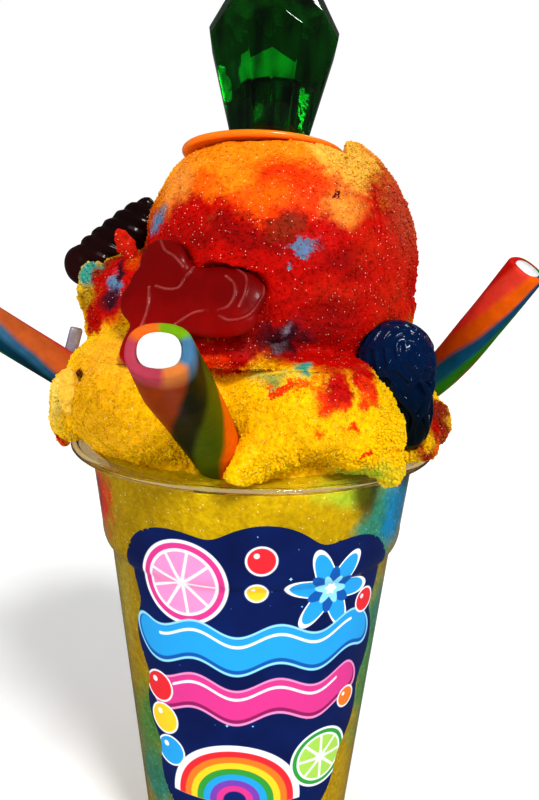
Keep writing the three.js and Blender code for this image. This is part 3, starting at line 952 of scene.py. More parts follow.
def scatter_tree(name, density, shape, smallest, largest, seed):
    tree = bpy.data.node_groups.new(name, "GeometryNodeTree")
    tree.interface.new_socket("Geometry", in_out="INPUT", socket_type="NodeSocketGeometry")
    tree.interface.new_socket("Geometry", in_out="OUTPUT", socket_type="NodeSocketGeometry")
    source = tree.nodes.new("NodeGroupInput").outputs["Geometry"]
    result = tree.nodes.new("NodeGroupOutput").inputs["Geometry"]
    marks = node(tree, "GeometryNodeInputNamedAttribute", {"Name": f"{shape} crust"}, data_type="FLOAT")
    strewn = node(
        tree, "GeometryNodeDistributePointsOnFaces",
        {"Mesh": source, "Selection": marks.outputs["Attribute"], "Density": density, "Seed": seed},
    ).outputs["Points"]
    if shape == "grain":
        block = node(tree, "GeometryNodeMeshCube", {"Size": (1, 1, 1)}).outputs["Mesh"]
    else:
        block = node(tree, "GeometryNodeMeshIcoSphere", {"Radius": 0.5, "Subdivisions": 1}).outputs["Mesh"]
    turns = {"Min": (0, 0, 0), "Max": (math.tau, math.tau, math.tau), "Seed": seed + 1}
    sizes = {"Min": (smallest,) * 3, "Max": (largest,) * 3, "Seed": seed + 2}
    chosen = []
    for values in (turns, sizes):
        made = node(tree, "FunctionNodeRandomValue", data_type="FLOAT_VECTOR")
        sockets = {socket.name: socket for socket in made.inputs if socket.enabled}
        for label, value in values.items():
            sockets[label].default_value = value
        chosen.append(made.outputs["Value"])
    copies = node(
        tree, "GeometryNodeInstanceOnPoints",
        {"Points": strewn, "Instance": block, "Rotation": chosen[0], "Scale": chosen[1]},
    ).outputs["Instances"]
    wire(tree, result, node(tree, "GeometryNodeRealizeInstances", {"Geometry": copies}).outputs["Geometry"])
    return tree


def marked_area(piece, attribute):
    """The area of the faces that have a marked point, in square metres."""
    marks = piece.data.attributes[attribute].data
    faces = piece.data.polygons
    return sum(face.area for face in faces if any(marks[corner].value > 0.0 for corner in face.vertices))


def scatter(piece, name, shape, count, smallest, largest, seed):
    strewn = bpy.data.objects.new(name, piece.data.copy())
    bpy.context.scene.collection.objects.link(strewn)
    density = count / marked_area(piece, f"{shape} crust")
    tree = scatter_tree(name, density, shape, smallest * MM, largest * MM, seed)
    add_modifier(strewn, "NODES", node_group=tree)
    apply_modifiers(strewn)
    print(name, "density", round(density * MM * MM, 2), "per square millimetre")
    return strewn


# %% Scattering grains and crumbs
for piece, label, slot, seed in ((mound, "mound", "lower_ice", 21), (scoop, "scoop", "top_scoop", 22)):
    grains = scatter(piece, f"{label}_grains", "grain", GRAINS_PER_PIECE, *GRAIN_SIZES, seed)
    finish_piece(grains, water_ice, slot)
    crumbs = scatter(piece, f"{label}_crumbs", "crumb", CRUMBS_PER_PIECE, *CRUMB_SIZES, seed + 10)
    only(crumbs)
    bpy.ops.object.shade_smooth()
    finish_piece(crumbs, water_ice, slot)

# %% [markdown]
# ## Three single bits of ice
# A bluish chip stands behind the left rope, a flake of cherry ice behind the red gummy, and a pale
# finger of lemon ice on the left mass, beside the hole. The chip is a small block with its corners
# worn round. The other two are stretched spheres that are roughened as the heap is.

# %% Chip
CHIP_SIZE = Vector((3.2, 2.2, 7.0)) * MM
CHIP_PLACE = Vector((-48.6, 1, 149.4)) * MM
CHIP_TURN = (math.radians(8), math.radians(14), math.radians(20))
CHIP_DARK, CHIP_PALE = screen_colour(112, 120, 140), screen_colour(190, 196, 212)
deselect()
bpy.ops.mesh.primitive_cube_add(size=1.0, scale=CHIP_SIZE)
chip = bpy.context.object
chip.name = "ice_chip"
settle(chip)
chip.rotation_euler = CHIP_TURN
chip.location = CHIP_PLACE
settle(chip)
add_modifier(chip, "SUBSURF", subdivision_type="SIMPLE", levels=3, render_levels=3)
add_modifier(chip, "SMOOTH", factor=0.5, iterations=4)
apply_modifiers(chip)
bpy.ops.object.shade_smooth()
chip_ice, tree, shader = new_material(
    "ice chip", Roughness=0.22, Subsurface_Weight=0.5, Subsurface_Scale=0.002, Coat_Weight=0.4,
    Coat_Roughness=0.15,
)
mottle = noise(tree, object_place(tree), 500.0, 3.0)
paint(tree, shader, blended(tree, mottle, CHIP_DARK, CHIP_PALE))
emboss(tree, shader, mottle, 0.3, 0.5)
finish_piece(chip, chip_ice, "lower_ice")


# %% Flake and finger
def splinter(name, place, radii, lean, sides, rings, lump, depth):
    """A rough splinter of ice, from a stretched sphere that leans to a side."""
    deselect()
    bpy.ops.mesh.primitive_uv_sphere_add(
        segments=sides, ring_count=rings, radius=1.0, location=place,
        rotation=(0, math.radians(lean), 0), scale=Vector(radii) * MM,
    )
    piece = bpy.context.object
    piece.name = name
    settle(piece)
    roughen(piece, f"{name} lumps", "CLOUDS", lump, depth, noise_depth=1)
    roughen(piece, f"{name} grit", "CLOUDS", 0.8, 0.4, noise_depth=1)
    apply_modifiers(piece)
    bpy.ops.object.shade_smooth()
    return piece


FLAKE_PLACE = Vector((-33, -8, 175)) * MM
flake = splinter("ice_flake", FLAKE_PLACE, (2.4, 1.3, 4.8), -26, 48, 32, 2.4, 1.6)
finish_piece(flake, ice_material("cherry ice", EMBER, [], ICE_GRAINS, 0.75), "top_scoop")

FINGER_PIXEL, FINGER_FORWARD = (70, 391), 1.4 * MM
finger_place = nearest_seen(HEAP, FINGER_PIXEL) - forward * FINGER_FORWARD
finger = splinter("ice_finger", finger_place, (2.4, 2.4, 5.8), 4, 64, 48, 2.6, 1.2)
pale_ice = ice_material("pale lemon ice", CREAM_LEMON, [], ICE_GRAINS, 0.4, hollow_shade_depth=0.14)
finish_piece(finger, pale_ice, "lower_ice")

# %% [markdown]
# ## The cup
# The cup is thin clear plastic, blown over a step and a collar, with a flat lip that ends in a rolled
# bead. It is turned in one go, up the outside, round the bead and down the inside. The plastic casts no
# shadow here: a renderer cannot bend lamp light through it, and the ice behind would go dark.

# %% Turning the cup
LIP_DROP, LIP_THICKNESS = 0.6, 0.9
bead_height = RIM_HEIGHT - BEAD
lip_top = RIM_HEIGHT - LIP_DROP
lip_under = lip_top - LIP_THICKNESS
outside = arc(FOOT_ROUND, CUP_BASE - FOOT_ROUND, FOOT_ROUND, -90, -8, 6) + wall_outline(0, WALL_LOW)
lip = [(NECK_RADIUS + 0.25, lip_under - 0.9), (NECK_RADIUS + 0.9, lip_under)]
lip += arc(BEAD, RIM_RADIUS - BEAD, bead_height, -150, 150, 12)
lip += [(NECK_RADIUS + 0.7, lip_top), (NECK_RADIUS - CUP_WALL + 0.3, lip_top - 0.5)]
inside = wall_outline(CUP_WALL, CUP_FLOOR + FOOT_ROUND)[::-1]
inside += [(CUP_BASE - CUP_WALL - 0.4, CUP_FLOOR + 0.35), (CUP_BASE - CUP_WALL - FOOT_ROUND, CUP_FLOOR)]
cup = turned("clear_cup", outside + lip + inside, CUP_SIDES)
only(cup)
bpy.ops.object.shade_smooth_by_angle(angle=math.radians(50))
cup.visible_shadow = False

# %% Clear plastic
clear_plastic, tree, shader = new_material(
    "clear plastic", Base_Color=(0.97, 0.985, 0.99, 1), IOR=1.34, Transmission_Weight=1.0
)
haze = noise(tree, object_place(tree), 60.0, 3.0)
wire(tree, shader.inputs["Roughness"], stretched(tree, haze, 0.3, 0.7, 0.02, 0.07))
ripple = noise(tree, object_place(tree), 45.0, 1.0)
emboss(tree, shader, ripple, 0.4, 0.15)
finish_piece(cup, clear_plastic, "cup", "cup")

# %% [markdown]
# ## The sticker
# A glossy die-cut sticker wraps round the front of the cup. Its outline is a row of round lobes run
# together, so a flat grid is laid out, its points near the outline are pulled onto it, and what lies
# outside is cut away. The sheet is then wrapped on the wall. It keeps its flat measures as its UV map,
# and the print is painted on those.

# %% Cutting and wrapping the sticker
STICKER_LOBES = [
    (-18, 97, 15), (3, 101, 14), (24, 95, 14.5), (-21, 77, 13.5), (27, 74, 13.5), (-20, 57, 13),
    (24, 55, 13.5), (-16, 38, 14), (17, 38, 14), (0, 33, 13), (2, 82, 19), (-6, 60, 18), (9, 60, 18),
]
STICKER_CELL = 0.8
STICKER_REFERENCE = 37.0
STICKER_THICKNESS, STICKER_LIFT = 0.2, 0.06
SHEET_WIDTH, SHEET_HEIGHT = 84.0, 100.0
SHEET_MIDDLE = (2, 65)
LOBE_BLEND = 2.5


def outside_sticker(along, height):
    """How far a place of the flat sheet is outside the lobes, which run smoothly together."""
    total = 0.0
    for centre, middle, radius in STICKER_LOBES:
        gap = math.hypot(along - centre, height - middle) - radius
        total += math.exp(-gap / LOBE_BLEND)
    return -LOBE_BLEND * math.log(total) + LOBE_BLEND * 0.4


def pull_to_outline(along, height):
    """Moves a place within half a cell of the outline onto it."""
    gap = outside_sticker(along, height)
    if abs(gap) > STICKER_CELL * 0.6:
        return along, height, gap
    step = 0.01
    slope_x = (outside_sticker(along + step, height) - gap) / step
    slope_y = (outside_sticker(along, height + step) - gap) / step
    steep = slope_x ** 2 + slope_y ** 2
    return along - gap * slope_x / steep, height - gap * slope_y / steep, 0.0


def wall_radius(height):
    """The radius of the cup's outer wall at a height."""
    outline = wall_outline(0, WALL_LOW)
    for (r0, z0), (r1, z1) in zip(outline, outline[1:]):
        if z0 <= height <= z1 and z1 > z0:
            return r0 + (r1 - r0) * (height - z0) / (z1 - z0)
    return outline[-1][0]


deselect()
bpy.ops.mesh.primitive_grid_add(
    x_subdivisions=round(SHEET_WIDTH / STICKER_CELL), y_subdivisions=round(SHEET_HEIGHT / STICKER_CELL),
    size=1.0, calc_uvs=True,
)
sticker = bpy.context.object
sticker.name = "sticker"
kept = []
for vertex in sticker.data.vertices:
    along = vertex.co.x * SHEET_WIDTH + SHEET_MIDDLE[0]
    height = vertex.co.y * SHEET_HEIGHT + SHEET_MIDDLE[1]
    along, height, gap = pull_to_outline(along, height)
    vertex.co = (along, height, 0)
    kept.append(gap <= 1e-6)
flat_places = [vertex.co.xy.copy() for vertex in sticker.data.vertices]
uv_layer = sticker.data.uv_layers.active.data
for loop in sticker.data.loops:
    along, height = flat_places[loop.vertex_index]
    wrapped = along * wall_radius(height) / STICKER_REFERENCE
    uv_layer[loop.index].uv = (wrapped * MM, height * MM)
for vertex, place in zip(sticker.data.vertices, flat_places):
    radius = wall_radius(place.y) + STICKER_LIFT
    angle = place.x / STICKER_REFERENCE
    vertex.co = Vector((radius * math.sin(angle), -radius * math.cos(angle), place.y)) * MM
select_where(sticker, lambda vertex: not kept[vertex.index])
bpy.ops.mesh.delete(type="VERT")
bpy.ops.object.mode_set(mode="OBJECT")
add_modifier(sticker, "SOLIDIFY", thickness=STICKER_THICKNESS * MM, offset=1.0)
apply_modifiers(sticker)
bpy.ops.object.shade_smooth_by_angle(angle=math.radians(40))
print("the sticker is", [round(size / MM) for size in sticker.dimensions], "mm")

# %% [markdown]
# ## The print
# The print is a cheerful pattern of fruit slices, an ice flower, wavy ribbons, gumballs and a rainbow on
# starry navy. All of it comes from three small masks in flat millimetres: a round shape whose edge can
# be lobed, a wavy band, and the spokes of a fruit slice.

# %% Print masks
EDGE = 0.15
shape_inputs = {
    "Place": ("Vector", None), "Centre": ("Vector", None), "Radius": ("Float", 5.0), "Lobes": ("Float", 0.0),
    "Depth": ("Float", 0.0), "Turn": ("Float", 0.0), "Lowest": ("Float", -99.0),
}
shape_mask, source, result = new_group("Print shape", shape_inputs, {"Mask": "Float"})
offset = vectors(shape_mask, "SUBTRACT", source["Place"], source["Centre"])
parts = node(shape_mask, "ShaderNodeSeparateXYZ", {"Vector": offset}).outputs
angle = maths(shape_mask, "ARCTAN2", parts["Y"], parts["X"])
wave = maths(shape_mask, "COSINE", maths(shape_mask, "MULTIPLY_ADD", angle, source["Lobes"], source["Turn"]))
swing = maths(shape_mask, "MULTIPLY_ADD", wave, source["Depth"], 1.0)
rim = maths(shape_mask, "MULTIPLY", swing, source["Radius"])
gap = maths(shape_mask, "SUBTRACT", rim, vectors(shape_mask, "LENGTH", offset))
mask = stretched(shape_mask, gap, -EDGE, EDGE)
above = stretched(shape_mask, maths(shape_mask, "SUBTRACT", parts["Y"], source["Lowest"]), -EDGE, EDGE)
wire(shape_mask, result["Mask"], maths(shape_mask, "MULTIPLY", mask, above))

band_inputs = {
    "Place": ("Vector", None), "Centre": ("Vector", None), "Half Length": ("Float", 20.0),
    "Half Width": ("Float", 3.0), "Swing": ("Float", 1.5), "Wavelength": ("Float", 18.0),
}
band_mask, source, result = new_group("Print band", band_inputs, {"Mask": "Float"})
offset = vectors(band_mask, "SUBTRACT", source["Place"], source["Centre"])
parts = node(band_mask, "ShaderNodeSeparateXYZ", {"Vector": offset}).outputs
phase = maths(band_mask, "DIVIDE", maths(band_mask, "MULTIPLY", parts["X"], math.tau), source["Wavelength"])
crest = maths(band_mask, "MULTIPLY", maths(band_mask, "SINE", phase), source["Swing"])
height = maths(band_mask, "SUBTRACT", parts["Y"], crest)
over = maths(band_mask, "SUBTRACT", maths(band_mask, "ABSOLUTE", parts["X"]), source["Half Length"])
beyond = maths(band_mask, "MAXIMUM", over, 0.0)
squares = [maths(band_mask, "POWER", part, 2.0) for part in (height, beyond)]
reach = maths(band_mask, "SQRT", maths(band_mask, "ADD", *squares))
inwards = maths(band_mask, "SUBTRACT", source["Half Width"], reach)
wire(band_mask, result["Mask"], stretched(band_mask, inwards, -EDGE, EDGE))

spoke_inputs = {
    "Place": ("Vector", None), "Centre": ("Vector", None), "Radius": ("Float", 5.0), "Spokes": ("Float", 8.0),
    "Half Width": ("Float", 0.4),
}
spoke_mask, source, result = new_group("Print spokes", spoke_inputs, {"Mask": "Float"})
offset = vectors(spoke_mask, "SUBTRACT", source["Place"], source["Centre"])
parts = node(spoke_mask, "ShaderNodeSeparateXYZ", {"Vector": offset}).outputs
angle = maths(spoke_mask, "ARCTAN2", parts["Y"], parts["X"])
half_turns = maths(spoke_mask, "MULTIPLY", angle, maths(spoke_mask, "MULTIPLY", source["Spokes"], 0.5))
apart = maths(spoke_mask, "ABSOLUTE", maths(spoke_mask, "SINE", half_turns))
far = vectors(spoke_mask, "LENGTH", offset)
across = maths(spoke_mask, "MULTIPLY", maths(spoke_mask, "MULTIPLY", apart, far), 2.0)
side = maths(spoke_mask, "DIVIDE", across, source["Spokes"])
thin = stretched(spoke_mask, maths(spoke_mask, "SUBTRACT", source["Half Width"], side), -EDGE, EDGE)
within = stretched(spoke_mask, maths(spoke_mask, "SUBTRACT", source["Radius"], far), -EDGE, EDGE)
wire(spoke_mask, result["Mask"], maths(spoke_mask, "MULTIPLY", thin, within))

# %% Print palette
NAVY = screen_colour(6, 40, 112)
NIGHT = screen_colour(2, 14, 62)
PINK = screen_colour(218, 62, 146)
ROSE = screen_colour(246, 150, 200)
AQUA = screen_colour(38, 164, 228)
ICE_BLUE = screen_colour(150, 218, 250)
WHITE = screen_colour(244, 246, 250)
RED = screen_colour(228, 44, 56)
YELLOW = screen_colour(252, 206, 40)
LEAF = screen_colour(56, 160, 66)
VIOLET = screen_colour(128, 70, 178)
DEEP_AQUA = screen_colour(14, 96, 176)
DEEP_PINK = screen_colour(150, 30, 100)
ORANGE_INK = screen_colour(244, 128, 36)
PALE_LEAF = screen_colour(170, 214, 90)

# %% [markdown]
# ## Printing the sticker
# The motifs are rows of a list, laid one over the other. One material with all of them would be too
# long for the renderer, so the sticker is printed in level bands: each band of its faces has its own
# material, which holds only the motifs that reach into it.

# %% The motifs
MOTIFS = []


def motif(colour, mask, centre, reach, **values):
    """Lists one colour inside a mask. The reach is how far above and below its centre it goes."""
    inputs = {name.replace("_", " "): value for name, value in values.items()}
    MOTIFS.append((colour, mask, centre, reach, inputs))


def disc_motif(colour, centre, radius, **values):
    motif(colour, shape_mask, centre, radius * 1.4, Radius=radius, **values)


def slice_motif(centre, radius, rind, flesh, spokes):
    """A slice of fruit: rind, pith, flesh and spokes."""
    for colour, share in ((WHITE, 1.08), (rind, 1.0), (WHITE, 0.86), (flesh, 0.79)):
        disc_motif(colour, centre, radius * share)
    motif(WHITE, spoke_mask, centre, radius, Radius=radius * 0.8, Spokes=spokes, Half_Width=0.35)
    disc_motif(WHITE, centre, radius * 0.12)


def flower_motif(centre, radius, turn):
    """A six-lobed flower of ice with a pale heart."""
    rows = (
        (WHITE, 1.12, 0.34, turn), (AQUA, 1.0, 0.34, turn), (DEEP_AQUA, 0.62, 0.3, turn + math.pi),
        (ICE_BLUE, 0.42, 0.3, turn), (WHITE, 0.17, 0.2, turn),
    )
    for colour, share, depth, spin in rows:
        disc_motif(colour, centre, radius * share, Lobes=6.0, Depth=depth, Turn=spin)


def ribbon_motif(centre, half_length, half_width, edge, shade, body, shine):
    """A wavy ribbon with a pale edge, a dark lower side and a line of shine along its top."""
    waves = {"Swing": 1.8, "Wavelength": 21.0}
    x, y = centre
    rows = (
        (edge, 0.0, half_width + 0.7, 0.0), (shade, 0.0, half_width, 0.0),
        (body, 0.5, half_width - 0.6, 0.0), (shine, half_width * 0.55, 0.4, 3.0),
    )
    for colour, lift, half, shorter in rows:
        sizes = {"Half_Length": half_length - shorter, "Half_Width": half}
        motif(colour, band_mask, (x, y + lift), half + 2.2, **sizes, **waves)


def ball_motif(centre, radius, colour):
    """A gumball with its shine."""
    x, y = centre
    disc_motif(WHITE, centre, radius + 0.5)
    disc_motif(colour, centre, radius)
    disc_motif(WHITE, (x - radius * 0.35, y + radius * 0.4), radius * 0.2)


slice_motif((-17, 97), 11, PINK, ROSE, 9)
flower_motif((20.5, 95), 8.4, 1.0)
ball_motif((2.5, 105), 3.4, RED)
ball_motif((1.5, 96), 2.4, YELLOW)
ribbon_motif((2, 79.5), 29, 5.0, ICE_BLUE, DEEP_AQUA, AQUA, WHITE)
ribbon_motif((2, 64.5), 25, 4.6, ROSE, DEEP_PINK, PINK, WHITE)
for along, height, colour in ((-25, 64, RED), (-23.5, 54.5, YELLOW), (-21.5, 45, AQUA)):
    ball_motif((along, height), 4.2, colour)
for shrink, colour in enumerate((WHITE, RED, ORANGE_INK, YELLOW, LEAF, AQUA, VIOLET, PINK, NAVY)):
    disc_motif(colour, (-3, 34), 17.4 - shrink * 1.8, Lowest=-1.0)
slice_motif((20.5, 44), 8.5, LEAF, PALE_LEAF, 8)
ball_motif((33, 88), 3.2, RED)
ball_motif((28.5, 60), 2.8, ORANGE_INK)
print(len(MOTIFS), "motifs")


# %% Printed bands
def printed_band(name, low, high):
    """A material with the motifs that reach between two heights, over starry navy."""
    material, tree, shader = new_material(
        name, Roughness=0.3, Coat_Weight=0.06, Coat_Roughness=0.08, Specular_IOR_Level=0.25
    )
    flat = scaled(tree, node(tree, "ShaderNodeUVMap").outputs["UV"], 1 / MM)
    painted = blended(tree, noise(tree, flat, 0.08, 2.0), NIGHT, NAVY)
    sparks = node(
        tree, "ShaderNodeTexVoronoi", {"Vector": flat, "Scale": 0.26, "Exponent": 0.5}, distance="MINKOWSKI"
    )
    chance = node(tree, "ShaderNodeSeparateColor", {"Color": sparks.outputs["Color"]}).outputs["Green"]
    size = stretched(tree, chance, 0.45, 1.0, 0.0, 0.36)
    lit = maths(tree, "LESS_THAN", sparks.outputs["Distance"], size)
    painted = blended(tree, lit, painted, ICE_BLUE)
    for colour, mask, centre, reach, inputs in MOTIFS:
        if centre[1] + reach > low and centre[1] - reach < high:
            values = {"Place": flat, "Centre": (*centre, 0), **inputs}
            painted = blended(tree, use_group(tree, mask, values)["Mask"], painted, colour)
    paint(tree, shader, painted)
    emboss(tree, shader, noise(tree, object_place(tree), 900.0, 2.0), 0.05, 0.3)
    return material


BAND_EDGES = [0, 36, 46, 56, 68, 75, 88, 200]
bands = [printed_band(f"print band {low}", low, high) for low, high in zip(BAND_EDGES, BAND_EDGES[1:])]
finish_piece(sticker, bands, "label", "label")
for polygon in sticker.data.polygons:
    height = polygon.center.z / MM
    polygon.material_index = sum(height >= edge for edge in BAND_EDGES[1:-1])

# %% [markdown]
# ## The candy ropes
# Each rope is an oval tube of striped soft candy round a white filling, cut square at its end. It is a
# curve with an oval section, made a mesh, given a wall with Solidify and soft edges with Bevel. Its
# stripes wind slowly along it, so every point is told how far along and how far round it lies, and the
# material turns that into colour.

# %% Rope paths
ROPE_WIDE, ROPE_NARROW = 11.6, 9.8
FILLING_SHARE = 0.58
OVAL_POWER = 3.1
ROPE_PATHS = {
    "front": [
        (-2, -17, 104), (-5.6, -30.6, 122.4), (-11.6, -52, 141), (-14.5, -73, 153), (-15.8, -93, 163.2),
    ],
    "left": [(-24, 3, 119), (-34, 2, 128.5), (-46, 0, 138.5), (-64, -4, 151), (-82, -8, 163.5)],
    "right": [(25.5, 9.5, 118), (36.6, 8.5, 130), (50.5, 5, 141.5), (60, -3, 157), (68.4, -10, 172)],
}
# How much wider a rope is at each point of its path.
ROPE_SWELL = {"front": (1, 1, 1.15, 1.17, 1), "left": (1, 1, 1, 1, 1), "right": (1, 1, 1, 1, 1)}


def smooth_path(points, steps):
    """A curve through all points, as a chain of short steps."""
    points = [Vector(point) * MM for point in points]
    ends = [points[0] * 2 - points[1], *points, points[-1] * 2 - points[-2]]
    chain = []
    for a, b, c, d in zip(ends, ends[1:], ends[2:], ends[3:]):
        for i in range(steps):
            t = i / steps
            square, cube = 2 * a - 5 * b + 4 * c - d, 3 * b - a - 3 * c + d
            chain.append((2 * b + (c - a) * t + square * t ** 2 + cube * t ** 3) / 2)
    return chain + [points[-1]]


def swell_along(swell, steps):
    """The swell at every link of a chain, from the values at the points of its path."""
    shares = []
    for a, b in zip(swell, swell[1:]):
        shares += [a + (b - a) * i / steps for i in range(steps)]
    return shares + [swell[-1]]


def oval_tube(name, chain, swells, wide, narrow, sides, squareness=1.5):
    """A tube with a squarish oval section along a chain of points, open at both ends."""
    deselect()
    bpy.ops.curve.primitive_nurbs_circle_add(radius=1.0)
    section = bpy.context.object
    section.data.resolution_u = sides // 8
    for point in section.data.splines[0].points:
        point.co.x *= wide / 2 * MM
        point.co.y *= narrow / 2 * MM
        point.co.w = max(point.co.w, squareness)
    curve = bpy.data.curves.new(name, "CURVE")
    curve.dimensions = "3D"
    curve.twist_mode = "Z_UP"
    curve.bevel_mode = "OBJECT"
    curve.bevel_object = section
    spline = curve.splines.new("POLY")
    spline.points.add(len(chain) - 1)
    for point, place, swell in zip(spline.points, chain, swells):
        point.co = (*place, 1)
        point.radius = swell
    piece = bpy.data.objects.new(name, curve)
    bpy.context.scene.collection.objects.link(piece)
    only(piece)
    bpy.ops.object.convert(target="MESH")
    bpy.data.objects.remove(section)
    close_mesh(piece)
    return piece


def mark_windings(piece, chain, swells):
    """Tells each point of a rope how it lies round the path, as sideways and upwards, and how far along."""
    lengths = [0.0]
    for a, b in zip(chain, chain[1:]):
        lengths.append(lengths[-1] + (b - a).length)
    marks = piece.data.attributes.new("winding", "FLOAT_VECTOR", "POINT")
    for index, vertex in enumerate(piece.data.vertices):
        nearest = min(range(len(chain)), key=lambda i: (chain[i] - vertex.co).length_squared)
        ahead = min(nearest + 1, len(chain) - 1)
        heading = (chain[ahead] - chain[ahead - 1]).normalized()
        sideways = heading.cross(Vector((0, 0, 1))).normalized()
        upwards = sideways.cross(heading)
        away = vertex.co - chain[nearest]
        along = (lengths[nearest] + away.dot(heading)) / lengths[-1]
        grown = swells[nearest] * MM
        marks.data[index].vector = (away.dot(sideways) / grown, away.dot(upwards) / grown, along)


ROPE_SIDES, ROPE_STEPS = 32, 14
ropes, fillings = {}, {}
for side, points in ROPE_PATHS.items():
    chain = smooth_path(points, ROPE_STEPS)
    swells = swell_along(ROPE_SWELL[side], ROPE_STEPS)
    rope = oval_tube(f"candy_rope_{side}", chain, swells, ROPE_WIDE, ROPE_NARROW, ROPE_SIDES)
    wall = ROPE_NARROW / 2 * (1 - FILLING_SHARE)
    add_modifier(rope, "SOLIDIFY", thickness=wall * MM, offset=-1.0)
    soften_edges(rope, 0.7, 50)
    apply_modifiers(rope)
    close_mesh(rope)
    mark_windings(rope, chain, swells)
    only(rope)
    bpy.ops.object.shade_smooth_by_angle(angle=math.radians(60))
    ropes[side] = rope
    grown = FILLING_SHARE + 0.05
    core = oval_tube(f"rope_core_{side}", chain, swells, ROPE_WIDE * grown, ROPE_NARROW * grown, ROPE_SIDES)
    only(core)
    bpy.ops.object.mode_set(mode="EDIT")
    bpy.ops.mesh.select_all(action="DESELECT")
    bpy.ops.mesh.select_non_manifold(extend=False)
    bpy.ops.mesh.edge_face_add()
    bpy.ops.object.mode_set(mode="OBJECT")
    fillings[side] = core
print("ropes:", list(ropes))


# %% Rope candy
STRIPE_BLUR = 0.022
FILLING_WHITE = screen_colour(255, 252, 250)


def colour_wheel(tree, share, starts, colours):
    """Colours round a rope. Each begins at its share of the way round and runs softly into the next."""
    ramp = node(tree, "ShaderNodeValToRGB", {"Fac": share})
    stops = ramp.color_ramp.elements
    places = [(0.0, colours[-1])]
    for index, (start, colour) in enumerate(zip(starts, colours)):
        before = colours[index - 1]
        if start > 0:
            places.append((start - STRIPE_BLUR, before))
        places.append((start + STRIPE_BLUR, colour))
    places[0] = (0.0, places[1][1])
    stops[0].position, stops[0].color = places[0]
    stops[1].position, stops[1].color = 1.0, colours[-1]
    for position, colour in places[1:]:
        stops.new(position).color = colour
    return ramp.outputs["Color"]


def rope_material(name, twist, starts, end_colours, shaded_colours, shade_from, shade_to):
    """Candy stripes that wind round a rope. Further in from its cut end they turn darker, as painted shade.
    """
    material, tree, shader = new_material(
        name, Roughness=0.36, Subsurface_Weight=0.08, Subsurface_Scale=0.0015, Specular_IOR_Level=0.03,
    )
    winding = node(tree, "ShaderNodeAttribute", attribute_name="winding").outputs["Vector"]
    parts = node(tree, "ShaderNodeSeparateXYZ", {"Vector": winding}).outputs
    angle = maths(tree, "DIVIDE", maths(tree, "ARCTAN2", parts["Y"], parts["X"]), math.tau)
    waver = maths(tree, "MULTIPLY_ADD", noise(tree, object_place(tree), 70.0, 1.0), 0.05, -0.025)
    wound = maths(tree, "MULTIPLY_ADD", parts["Z"], twist, 8.0 - twist)
    share = maths(tree, "FRACT", maths(tree, "ADD", maths(tree, "ADD", angle, wound), waver))
    bright = colour_wheel(tree, share, starts, end_colours)
    # Painted shade: the same stripes in darker colours, which they take on away from the cut end.
    deep = colour_wheel(tree, share, starts, shaded_colours)
    candy = blended(tree, stretched(tree, parts["Z"], shade_from, shade_to), bright, deep)
    streaks = noise(tree, object_place(tree), 400.0, 3.0)
    tone = stretched(tree, streaks, 0.3, 0.7, 0.88, 1.08)
    toned_and_shaded = scaled(tree, candy, tone)
    across = maths(tree, "DIVIDE", parts["X"], ROPE_WIDE / 2)
    tall = maths(tree, "DIVIDE", parts["Y"], ROPE_NARROW / 2)
    powers = [maths(tree, "POWER", maths(tree, "ABSOLUTE", part), OVAL_POWER) for part in (across, tall)]
    edge = FILLING_SHARE ** OVAL_POWER
    inner = stretched(tree, maths(tree, "ADD", *powers), edge * 0.8, edge * 1.25, 1.0, 0.0)
    paint(tree, shader, blended(tree, inner, toned_and_shaded, FILLING_WHITE))
    emboss(tree, shader, streaks, 0.12, 0.35)
    return material


# Shares go round from the rope's left side over its top to its right, as seen from its inner end.
CRIMSON, HOT_PINK = screen_colour(172, 66, 84), screen_colour(214, 66, 50)
BRICK, SCARLET = screen_colour(150, 56, 2), screen_colour(186, 24, 8)
TAN, BURNT = screen_colour(200, 122, 60), screen_colour(142, 52, 4)
ORANGE_CANDY, DEEP_ORANGE = screen_colour(208, 104, 34), screen_colour(222, 98, 4)
LIME_CANDY, OLIVE = screen_colour(116, 160, 20), screen_colour(72, 88, 2)
STEEL, INK = screen_colour(74, 120, 152), screen_colour(2, 26, 10)
CLAY, BRICK_RED = screen_colour(180, 92, 42), screen_colour(190, 70, 44)
FOREST, OCEAN = screen_colour(40, 110, 8), screen_colour(10, 74, 104)
# Each rope: its twist, where its stripes start, their colours at the cut end, the same stripes in painted
# shade (on the front rope warmed by a painted reflection of the yellow ice), and the shares of its length
# from the inner end where that shade begins and where it is full.
ROPE_LOOKS = {
    "front": (
        0.7, (0.06, 0.24, 0.42, 0.58, 0.72),
        (ORANGE_CANDY, LIME_CANDY, STEEL, TAN, CRIMSON), (DEEP_ORANGE, OLIVE, INK, BURNT, BRICK), 0.985, 0.93,
    ),
    "left": (
        0.39, (0.08, 0.17, 0.35, 0.42, 0.53, 0.66, 0.85),
        (BRICK_RED, CLAY, STEEL, OCEAN, FOREST, OLIVE, CRIMSON),
        (BRICK_RED, CLAY, OCEAN, INK, FOREST, OLIVE, CRIMSON), 0.95, 0.45,
    ),
    "right": (
        0.53, (0.03, 0.36, 0.52, 0.65, 0.77, 0.9),
        (SCARLET, BRICK, FOREST, OCEAN, DEEP_ORANGE, HOT_PINK),
        (SCARLET, BRICK, FOREST, OCEAN, BURNT, SCARLET), 0.9, 0.5,
    ),
}
for side, looks in ROPE_LOOKS.items():
    finish_piece(ropes[side], rope_material(f"{side} rope candy", *looks), "rope", f"rope_{side}")

filling_material, tree, shader = new_material(
    "white filling", Roughness=0.3, Subsurface_Weight=0.3, Subsurface_Scale=0.002
)
crumbs = noise(tree, object_place(tree), 700.0, 3.0)
paint(tree, shader, blended(tree, crumbs, screen_colour(250, 246, 246), screen_colour(255, 255, 255)))
emboss(tree, shader, crumbs, 0.1, 0.4)
for side, core in fillings.items():
    finish_piece(core, filling_material, "rope_filling", f"rope_{side}_filling")

